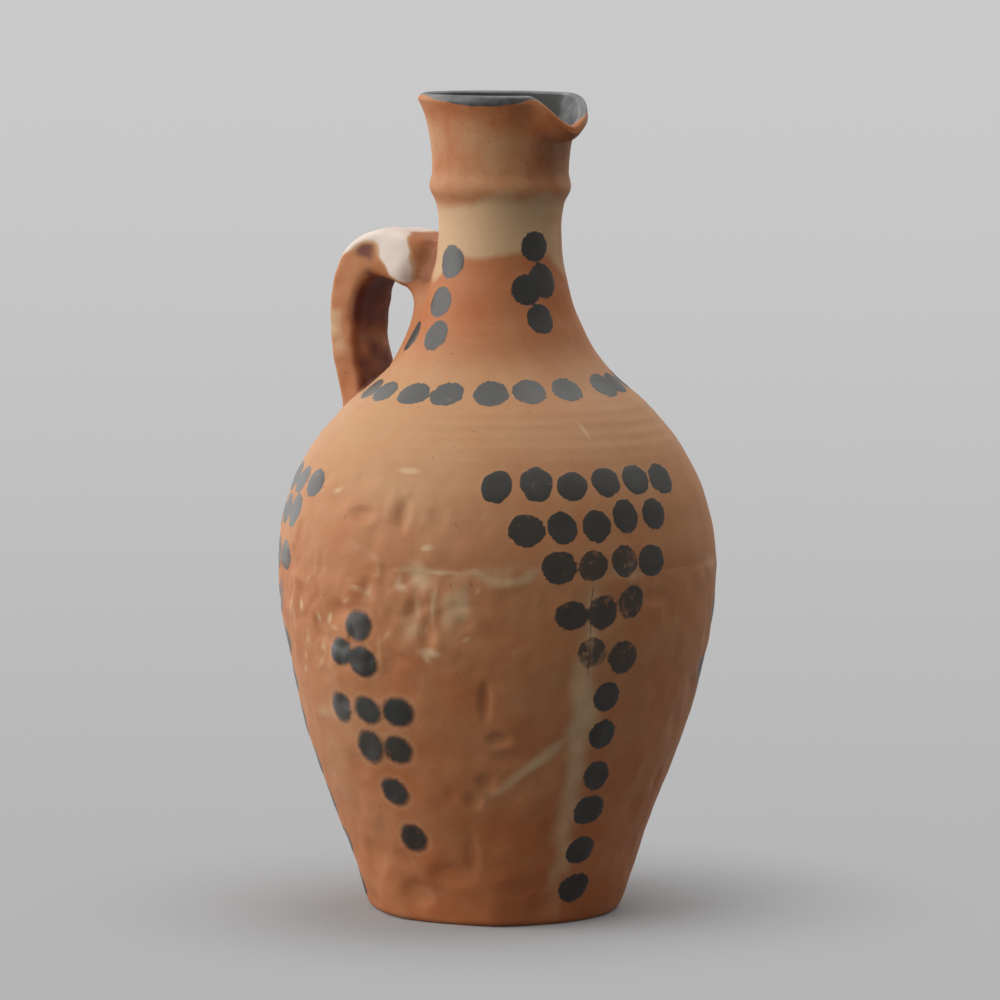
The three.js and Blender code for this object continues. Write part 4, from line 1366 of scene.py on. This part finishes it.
def wad_mesh(strap, wad):
    """A hollow blend of clay all round one end of the strap, from its surface to the pot's."""
    pot = strap.pot
    way = 1 if wad.far == 0 else -1
    bm = bmesh.new()
    stand = Matrix.Translation((WAD_HOOP_RADIUS, 0.0, 0.0)) @ Matrix.Rotation(math.pi / 2, 4, "X")
    bmesh.ops.create_circle(bm, segments=WAD_STEPS, radius=1.0, matrix=stand)
    bmesh.ops.spin(bm, geom=list(bm.verts) + list(bm.edges), cent=(0, 0, 0), axis=(0, 0, 1), angle=math.tau,
                   steps=WAD_STEPS_ROUND, use_merge=True)
    bends = [math.tau * index / WAD_STEPS_ROUND for index in range(WAD_STEPS_ROUND)]
    feet = [strap.plain_point(strap.meets(bend, wad.near, wad.far), bend) for bend in bends]
    middle = sum(feet, Vector()) / len(feet)
    marks = {name: bm.verts.layers.float.new(name) for name in MARKS}
    ribs = {}
    for vert in bm.verts:
        index = round(math.atan2(vert.co.y, vert.co.x) / math.tau * WAD_STEPS_ROUND) % WAD_STEPS_ROUND
        share = math.atan2(vert.co.z, vert.co.xy.length - WAD_HOOP_RADIUS) / math.tau % 1.0
        if index not in ribs:
            ribs[index] = wad_rib(strap, wad, bends[index], way, middle)
        start, corner, end, deep, place = ribs[index]
        vert.co = rib_point(start, corner, end, deep, share)
        if share < WAD_SHOWN:
            sunk = min(share, WAD_SHOWN - share) / WAD_SHOWN
            vert.co += (vert.co - deep).normalized() * sunk * rough(vert.co, WAD_GRAINS)
        mark_handle(vert, marks, place, bends[index])
        on_pot = smooth(share / WAD_SHOWN, *WAD_ON_POT) if share < WAD_SHOWN else 1.0
        length = pot.length_at(vert.co.z)
        angle = math.atan2(vert.co.y, vert.co.x)
        smear = pot.smeared(pot.place(angle, length), length, angle)
        vert[marks["pale"]] *= smooth(math.sin(bends[index]), *WAD_PALE_FACE)
        vert[marks["pale"]] *= 1 - smooth(share / WAD_SHOWN, *WAD_PALE_END)
        vert[marks["pale"]] = mix(vert[marks["pale"]], smear, on_pot)
        vert[marks["fire_and_shade"]] *= 1 - on_pot
        vert[marks["strap"]] = 1 - on_pot
    bmesh.ops.recalc_face_normals(bm, faces=bm.faces)
    return bm


def wad_rib(strap, wad, bend, way, middle):
    """One rib of a wad: where it leaves the strap, the corner that it fills, and where it ends on the pot."""
    pot = strap.pot
    meets = strap.meets(bend, wad.near, wad.far)
    corner = strap.plain_point(meets, bend)
    place = meets + way * by_side(bend, *wad.along)
    start = strap.point(place, bend)
    inner, _ = strap.line.at(place)
    start += (Vector((inner.x, 0.0, inner.y)) - start).normalized() * WAD_SINK
    outward = (corner - middle).normalized()
    target = corner + outward * by_side(bend, *wad.out, wad.tightness)
    length = pot.length_at(target.z)
    angle = math.atan2(target.y, target.x)
    at = pot.place(angle, length)
    end = pot.place(angle, length, pot.relief(at, length) - WAD_SINK)
    inward = Vector((-corner.x, -corner.y, 0.0)).normalized()
    deep = corner + (inward - outward) * WAD_DEEP
    return start, corner, end, deep, place


def rib_point(start, corner, end, deep, share):
    """A point of a rib: along its hollow face for most of the way, then back through the clay."""
    if share <= WAD_SHOWN:
        part = share / WAD_SHOWN
        bow = (start.lerp(corner, CORNER_FULLNESS), end.lerp(corner, CORNER_FULLNESS))
        rest = 1 - part
        return (start * rest ** 3 + bow[0] * (3 * rest * rest * part)
                + bow[1] * (3 * rest * part * part) + end * part ** 3)
    part = (share - WAD_SHOWN) / (1 - WAD_SHOWN)
    return end.lerp(deep, part * 2) if part < 0.5 else deep.lerp(start, part * 2 - 1)


# Materials


class Value:
    """A shader socket that takes part in sums."""

    def __init__(self, graph, socket):
        self.graph = graph
        self.socket = socket

    def __add__(self, other):
        return self.graph.math("ADD", self, other)

    def __sub__(self, other):
        return self.graph.math("SUBTRACT", self, other)

    def __mul__(self, other):
        return self.graph.math("MULTIPLY", self, other)

    def __truediv__(self, other):
        return self.graph.math("DIVIDE", self, other)

    def __rsub__(self, other):
        return self.graph.math("SUBTRACT", other, self)


class Graph:
    """The nodes of one material or world."""

    def __init__(self, tree):
        self.tree = tree
        tree.nodes.clear()

    def node(self, kind, settings, sockets, out=0):
        """Adds a node, sets it, fills its sockets with values or links, and returns one output."""
        made = self.tree.nodes.new(kind)
        for key, value in settings.items():
            setattr(made, key, value)
        for key, value in sockets.items():
            if isinstance(value, Value):
                self.tree.links.new(value.socket, made.inputs[key])
            else:
                made.inputs[key].default_value = value
        return Value(self, made.outputs[out]) if len(made.outputs) else made

    def math(self, operation, first, second=0.0):
        """A sum of one or two values."""
        return self.node("ShaderNodeMath", {"operation": operation}, {0: first, 1: second})

    def step(self, value, start, end):
        """0 before start, 1 after end, and an S-curve between."""
        return self.node("ShaderNodeMapRange", {"interpolation_type": "SMOOTHSTEP"},
                         {"Value": value, "From Min": start, "From Max": end})

    def layer(self, value, layer):
        """A share that rises from the layer's start to its full strength."""
        return self.step(value, layer.start, layer.end) * layer.strength

    def blend(self, share, first, second):
        """One colour over another."""
        paints = [colour if isinstance(colour, Value) else (*colour, 1.0) for colour in (first, second)]
        sockets = {0: share, **dict(zip(COLOUR_SOCKETS, paints))}
        return self.node("ShaderNodeMix", {"data_type": "RGBA"}, sockets, COLOUR_RESULT)

    def mark(self, name):
        """A mark kept on the piece's vertices."""
        return self.node("ShaderNodeAttribute", {"attribute_name": name}, {}, "Fac")

    def grain(self, where, scale, detail, roughness):
        """Noise from 0 to 1."""
        return self.node("ShaderNodeTexNoise", {},
                         {"Vector": where, "Scale": scale, "Detail": detail, "Roughness": roughness})

    def stretched(self, where, scale):
        """A place counted in other steps along each axis."""
        return self.node("ShaderNodeMapping", {}, {"Vector": where, "Scale": scale})


Grains = namedtuple("Grains", "height cloud patch blotch fine grit speck wheel drag")


def clay_grains(graph):
    """The height up the jug, and the noises that the layers of the finish share."""
    where = graph.node("ShaderNodeTexCoord", {}, {}, "Object")
    height = graph.node("ShaderNodeSeparateXYZ", {}, {"Vector": where}, "Z")
    noises = [graph.grain(where, *sort) for sort in (CLOUD, PATCH, BLOTCH, FINE, GRIT, SPECK)]
    wheel = graph.grain(graph.stretched(where, WHEEL_STRETCH), *WHEEL)
    drag = graph.grain(graph.stretched(where, DRAG_STRETCH), *DRAG)
    return Grains(height, *noises, wheel, drag)


def mingle(grains, shares):
    """Noises added together, each times its share."""
    total = 0.0
    for name, share in shares.items():
        total = getattr(grains, name) * share + total
    return total


def sway(grains, shares):
    """The same, with each noise counted from its middle."""
    return mingle(grains, shares) - NOISE_MIDDLE * sum(shares.values())


def bare_clay(graph, finish, grains, strap, thrown):
    """Fired clay, redder in some places than in others, with marks of the wheel, grit and specks."""
    ruddy = RUDDY_FOOT
    for layer in RUDDY_LAYERS:
        ruddy = graph.layer(grains.height, layer) + ruddy
    # on the strap, part of the redder share is painted shade
    ruddy = ruddy * (1 - strap) + strap * STRAP_RUDDY_AND_SHADE
    mottled = graph.layer(grains.height, MOUTH_MOTTLING) + MOTTLING
    ruddy = ruddy + sway(grains, RUDDY_SHARES) + (grains.patch - NOISE_MIDDLE) * mottled
    paint = graph.blend(ruddy, finish.clay, finish.red_clay)
    paint = graph.blend(graph.layer(grains.wheel, WHEEL_LAYER) * thrown, paint, finish.pale_slip_and_light)
    paint = graph.blend(graph.layer(grains.blotch, BLOTCH_LAYER), paint, finish.pale_slip_and_light)
    paint = graph.blend(graph.layer(grains.grit, GRIT_LAYER), paint, finish.red_clay)
    return graph.blend(graph.layer(grains.speck, SPECK_LAYER), paint, finish.burnt_clay_and_shade)


def pale_wash(graph, finish, grains, strap, paint):
    """Pale slip over the paint below, thick and white on top of the strap, and painted light where the marks
    hold it.
    """
    pale = graph.mark("pale")
    slip = graph.blend(strap * graph.step(pale, *WHITE_EDGE), finish.pale_slip_and_light, finish.white_slip)
    return graph.blend(graph.layer(pale + sway(grains, WASH_SHARES), WASH_LAYER), paint, slip)


def fire_marks_and_shade(graph, finish, grains, paint):
    """Purple-brown marks of the fire, and painted shade on the handle and on the side of the mouth, over the
    paint below.
    """
    fire_and_shade = graph.mark("fire_and_shade") + sway(grains, FIRE_AND_SHADE_SHARES)
    return graph.blend(graph.layer(fire_and_shade, FIRE_AND_SHADE_LAYER), paint, finish.burnt_clay_and_shade)


def dark_brim(graph, finish, grains, inside_shade, paint):
    """Dark slip on the lip and in the mouth, darkened by painted shade inside the mouth, worn along its edge,
    and the share that it covers.
    """
    brim = graph.mark("dark")
    worn = graph.mark("worn") * graph.step(brim, *WORN_OUTER_EDGE) * (1 - graph.step(brim, *WORN_INNER_EDGE))
    paint = graph.blend(worn * graph.layer(grains.fine, WORN_LAYER), paint, finish.pale_slip_and_light)
    dark = graph.step(brim + sway(grains, BRIM_SHARES), *BRIM_EDGE)
    thick_and_shaded = graph.layer(mingle(grains, THICK_SHARES) + inside_shade * INSIDE_SHADE_THICK, THICK_LAYER)
    slip = graph.blend(thick_and_shaded, finish.dark_slip, finish.dot_slip)
    covered = dark * graph.step(mingle(grains, BRIM_GAP_SHARES), *BRIM_GAPS)
    return graph.blend(covered, paint, slip), dark


def finger_dots(graph, finish, grains, paint):
    """Finger dots with a faint halo where they bleed, and the share they cover, worn and unworn."""
    bleed = graph.mark("bleed")
    wear = graph.mark("wear")
    edge = graph.mark("dot") + sway(grains, DOT_EDGE_SHARES) * (1 - bleed * DOT_CRISP_BLEED)
    halo = graph.step(edge, *HALO_START) * (1 - graph.step(edge, *HALO_END)) * bleed
    paint = graph.blend(halo * HALO, paint, finish.pale_slip_and_light)
    covered = 1 - graph.step(edge / (bleed * DOT_SOFT_BLEED + DOT_SOFT), -1.0, 1.0)
    lost = graph.layer(mingle(grains, DOT_THIN_SHARES) + wear * DOT_LOST_WEAR, DOT_LOST)
    dots = covered * (DOT_COVER - lost) * (1 - wear * DOT_FADED_WEAR)
    slip = graph.blend(graph.layer(grains.patch, DOT_GREY_LAYER), finish.dot_slip, finish.dark_slip)
    return graph.blend(dots, paint, slip), dots, covered


def hair_crack(graph, finish, grains, paint):
    """A hair crack below the belly seam, and its share of the surface."""
    line = graph.math("ABSOLUTE", graph.mark("crack"))
    cracked = (1 - graph.step(line, *CRACK_LINE)) * graph.step(grains.blotch, *CRACK_GAPS)
    cracked = cracked * graph.step(grains.height, *CRACK_FOOT) * (1 - graph.step(grains.height, *CRACK_TOP))
    return graph.blend(cracked * CRACK_STRENGTH, paint, finish.burnt_clay_and_shade), cracked


def clay_material(name, finish):
    """Fired clay with pale washes, dark slip, finger dots, specks and fine marks of the wheel."""
    material = bpy.data.materials.new(name)
    material.use_nodes = True
    graph = Graph(material.node_tree)
    grains = clay_grains(graph)
    strap = graph.mark("strap")
    # painted shade inside the mouth, which also roughens the slip there and dulls its shine
    inside_shade = graph.mark("inside_shade")
    thrown = graph.step(grains.height, *THROWN_HEIGHTS)

    paint = bare_clay(graph, finish, grains, strap, thrown)
    paint = pale_wash(graph, finish, grains, strap, paint)
    paint = fire_marks_and_shade(graph, finish, grains, paint)
    paint, dark = dark_brim(graph, finish, grains, inside_shade, paint)
    paint, dots, covered = finger_dots(graph, finish, grains, paint)
    paint, cracked = hair_crack(graph, finish, grains, paint)

    slipped = graph.math("MAXIMUM", dots, dark)
    slip_gloss = sway(grains, SLIP_GLOSS_SHARES) + finish.slip_roughness + inside_shade * INSIDE_SHADE_ROUGH
    clay_gloss = sway(grains, CLAY_GLOSS_SHARES) + finish.clay_roughness
    gloss = clay_gloss * (1 - slipped) + slipped * slip_gloss
    sheen = slipped * (1 - inside_shade * INSIDE_SHADE_DULL) * finish.slip_sheen
    relief = sway(grains, BUMP_SHARES) + sway(grains, WHEEL_BUMP_SHARES) * thrown
    relief = relief + covered * DOT_BUMP - cracked * CRACK_BUMP
    bump = graph.node("ShaderNodeBump", {},
                      {"Strength": BUMP_STRENGTH, "Distance": BUMP_DISTANCE, "Height": relief})
    shader = graph.node("ShaderNodeBsdfPrincipled", {},
                        {"Base Color": paint, "Roughness": gloss, "Normal": bump, "Coat Weight": sheen,
                         "Specular IOR Level": SPECULAR, "Coat Roughness": COAT_ROUGHNESS})
    graph.node("ShaderNodeOutputMaterial", {}, {"Surface": shader})
    return material


def kept_material(slot, finish):
    """The finish of a slot, made once."""
    name = slot + "_finish"
    return bpy.data.materials.get(name) or clay_material(name, finish)


# Operators


def turn_piece(context, name, slot, pot, stations, closed=True, reshape=None):
    """Spins one section of the pot, works its surface and finishes it."""
    bm = spin_profile(stations, closed)
    work_surface(bm, pot, reshape)
    make_piece(name, bm, kept_material(slot, context.scene.jug_finish))


class JUG_OT_lower_body(bpy.types.Operator):
    """Build the base and the paddled lower half of the belly"""

    bl_idname = "jug.lower_body"
    bl_label = "Lower body"

    def execute(self, context):
        pot = Pot(context.scene.jug_sizes)
        turn_piece(context, "lower_body", "red_clay", pot, lower_stations(pot), closed=False)
        return {"FINISHED"}


class JUG_OT_upper_body(bpy.types.Operator):
    """Build the thrown shoulder"""

    bl_idname = "jug.upper_body"
    bl_label = "Upper body"

    def execute(self, context):
        pot = Pot(context.scene.jug_sizes)
        stations = ring_stations(pot, pot.belly_seam_at, pot.neck_seam_at, OUTSIDE_STEP)
        turn_piece(context, "upper_body", "red_clay", pot, stations)
        return {"FINISHED"}


class JUG_OT_neck(bpy.types.Operator):
    """Build the neck with its band of pale slip"""

    bl_idname = "jug.neck"
    bl_label = "Neck"

    def execute(self, context):
        pot = Pot(context.scene.jug_sizes)
        stations = ring_stations(pot, pot.neck_seam_at, pot.mouth_seam_at, OUTSIDE_STEP)
        turn_piece(context, "neck", "neck_clay", pot, stations)
        return {"FINISHED"}


class JUG_OT_mouth(bpy.types.Operator):
    """Build the mouth with its pinched pouring lip"""

    bl_idname = "jug.mouth"
    bl_label = "Mouth"

    def execute(self, context):
        pot = Pot(context.scene.jug_sizes)
        turn_piece(context, "mouth", "mouth_clay", pot, mouth_stations(pot), reshape=pinched(pot))
        return {"FINISHED"}


class JUG_OT_handle(bpy.types.Operator):
    """Build the pulled strap handle"""

    bl_idname = "jug.handle"
    bl_label = "Handle"

    def execute(self, context):
        strap = Strap(Pot(context.scene.jug_sizes))
        material = kept_material("handle_clay", context.scene.jug_finish)
        make_piece("handle", strap_mesh(strap), material)
        return {"FINISHED"}


class JUG_OT_handle_wads(bpy.types.Operator):
    """Build the wads of clay that blend the handle into the neck and the shoulder"""

    bl_idname = "jug.handle_wads"
    bl_label = "Handle wads"

    def execute(self, context):
        strap = Strap(Pot(context.scene.jug_sizes))
        middle = strap.length / 2
        wads = {
            "upper_handle_wad": Wad(middle, 0.0, *UPPER_WAD),
            "lower_handle_wad": Wad(middle, strap.length, *LOWER_WAD),
        }
        material = kept_material("handle_clay", context.scene.jug_finish)
        for name, wad in wads.items():
            make_piece(name, wad_mesh(strap, wad), material)
        return {"FINISHED"}


class JUG_OT_stage(bpy.types.Operator):
    """Set up the camera, the soft light and the pale floor"""

    bl_idname = "jug.stage"
    bl_label = "Stage"

    def execute(self, context):
        stage = context.scene.jug_stage
        context.scene.view_settings.view_transform = "Standard"
        place_camera(context.scene, stage)
        lay_floor(context.scene, stage)
        light_world(context.scene, stage)
        add_lamp(context.scene, stage, "key_light", stage.key, KEY_LAMP)
        add_lamp(context.scene, stage, "top_light", stage.top, TOP_LAMP)
        add_lamp(context.scene, stage, "fill_light", stage.fill, FILL_LAMP)
        return {"FINISHED"}


def direction(stage, turned, rise):
    """The way out from the jug, by its turn from the camera's and its rise above the horizon."""
    facing = stage.azimuth - math.pi / 2 + turned
    return Vector((math.cos(facing) * math.cos(rise), math.sin(facing) * math.cos(rise), math.sin(rise)))


def place_camera(scene, stage):
    """The camera at the photograph's angle."""
    data = bpy.data.cameras.new("camera")
    data.lens = stage.lens
    data.shift_x = stage.shift
    camera = bpy.data.objects.new("camera", data)
    scene.collection.objects.link(camera)
    back = direction(stage, 0.0, stage.elevation)
    aim = Vector((0.0, 0.0, stage.aim_height))
    turned = (-back).to_track_quat("-Z", "Y").to_matrix().to_4x4() @ Matrix.Rotation(stage.roll, 4, "Z")
    camera.matrix_world = Matrix.Translation(aim + back * stage.distance) @ turned
    scene.camera = camera


def lay_floor(scene, stage):
    """A wide pale floor that fades into the backdrop far from the jug."""
    bm = bmesh.new()
    bmesh.ops.create_circle(bm, cap_ends=True, segments=FLOOR_SIDES, radius=FLOOR_RADIUS)
    mesh = bpy.data.meshes.new("floor")
    bm.to_mesh(mesh)
    bm.free()
    material = bpy.data.materials.new("pale_floor")
    material.use_nodes = True
    graph = Graph(material.node_tree)
    where = graph.node("ShaderNodeTexCoord", {}, {}, "Object")
    away = graph.node("ShaderNodeVectorMath", {"operation": "LENGTH"}, {0: where}, "Value")
    board = graph.node("ShaderNodeBsdfDiffuse", {}, {"Color": (*stage.floor, 1.0)})
    clear = graph.node("ShaderNodeBsdfTransparent", {}, {})
    far = graph.step(away, FLOOR_FADE_START, FLOOR_FADE_END)
    faded = graph.node("ShaderNodeMixShader", {}, {0: far, 1: board, 2: clear})
    graph.node("ShaderNodeOutputMaterial", {}, {"Surface": faded})
    mesh.materials.append(material)
    floor = bpy.data.objects.new("floor", mesh)
    scene.collection.objects.link(floor)


def light_world(scene, stage):
    """Even light from all round, with the backdrop's colour where the camera or a reflection sees it."""
    world = bpy.data.worlds.new("studio")
    world.use_nodes = True
    scene.world = world
    graph = Graph(world.node_tree)
    camera, glossy, clear = [
        graph.node("ShaderNodeLightPath", {}, {}, ray)
        for ray in ("Is Camera Ray", "Is Glossy Ray", "Is Transmission Ray")
    ]
    seen = graph.math("MAXIMUM", graph.math("MAXIMUM", camera, glossy), clear)
    light = graph.node("ShaderNodeBackground", {}, {"Color": (1.0, 1.0, 1.0, 1.0), "Strength": stage.ambient})
    towards = graph.node("ShaderNodeTexCoord", {}, {}, "Generated")
    slope = graph.node("ShaderNodeSeparateXYZ", {}, {"Vector": towards}, "Z")
    high = graph.step(slope, BACKDROP_LOW_SLOPE, BACKDROP_HIGH_SLOPE)
    backdrop = graph.blend(high, stage.backdrop_low, stage.backdrop_high)
    wall = direction(stage, WALL_TURN, WALL_RISE)
    aside = graph.node("ShaderNodeVectorMath", {"operation": "DOT_PRODUCT"}, {0: towards, 1: wall}, "Value")
    glow = (graph.step(slope, OVERHEAD_LOW_SLOPE, OVERHEAD_HIGH_SLOPE) * stage.overhead
            + graph.step(aside, WALL_EDGE, WALL_MIDDLE) * stage.wall)
    bright = glow * (1 - camera) + 1.0
    shown = graph.node("ShaderNodeBackground", {}, {"Color": backdrop, "Strength": bright})
    both = graph.node("ShaderNodeMixShader", {}, {0: seen, 1: light, 2: shown})
    graph.node("ShaderNodeOutputWorld", {}, {"Surface": both})


def add_lamp(scene, stage, name, power, lamp):
    """A square soft light aimed at the jug."""
    data = bpy.data.lights.new(name, "AREA")
    data.energy = power
    data.size = lamp.size
    light = bpy.data.objects.new(name, data)
    scene.collection.objects.link(light)
    back = direction(stage, lamp.turn, lamp.rise)
    light.location = Vector((0.0, 0.0, stage.aim_height)) + back * lamp.distance
    light.rotation_mode = "QUATERNION"
    light.rotation_quaternion = (-back).to_track_quat("-Z", "Y")


class JUG_PT_panel(bpy.types.Panel):
    """Builds the jug piece by piece"""

    bl_idname = "JUG_PT_panel"
    bl_label = "Clay jug"
    bl_space_type = "VIEW_3D"
    bl_region_type = "UI"
    bl_category = "Jug"

    def draw(self, context):
        layout = self.layout
        for group in (context.scene.jug_sizes, context.scene.jug_finish, context.scene.jug_stage):
            box = layout.box()
            for name in group.__annotations__:
                box.prop(group, name)
        for operator in OPERATORS:
            layout.operator(operator.bl_idname)


GROUPS = {"jug_sizes": JugSizes, "jug_finish": JugFinish, "jug_stage": JugStage}
OPERATORS = (
    JUG_OT_lower_body,
    JUG_OT_upper_body,
    JUG_OT_neck,
    JUG_OT_mouth,
    JUG_OT_handle,
    JUG_OT_handle_wads,
    JUG_OT_stage,
)


def register():
    """Adds the jug's settings, operators and panel to Blender."""
    for cls in (*GROUPS.values(), *OPERATORS, JUG_PT_panel):
        bpy.utils.register_class(cls)
    for name, group in GROUPS.items():
        setattr(bpy.types.Scene, name, PointerProperty(type=group))


def unregister():
    """Takes them away again."""
    for name in GROUPS:
        delattr(bpy.types.Scene, name)
    for cls in reversed((*GROUPS.values(), *OPERATORS, JUG_PT_panel)):
        bpy.utils.unregister_class(cls)


def main():
    """Builds the whole jug on its stage."""
    register()
    bpy.ops.jug.lower_body()
    bpy.ops.jug.upper_body()
    bpy.ops.jug.neck()
    bpy.ops.jug.mouth()
    bpy.ops.jug.handle()
    bpy.ops.jug.handle_wads()
    bpy.ops.jug.stage()


if __name__ == "__main__":
    main()
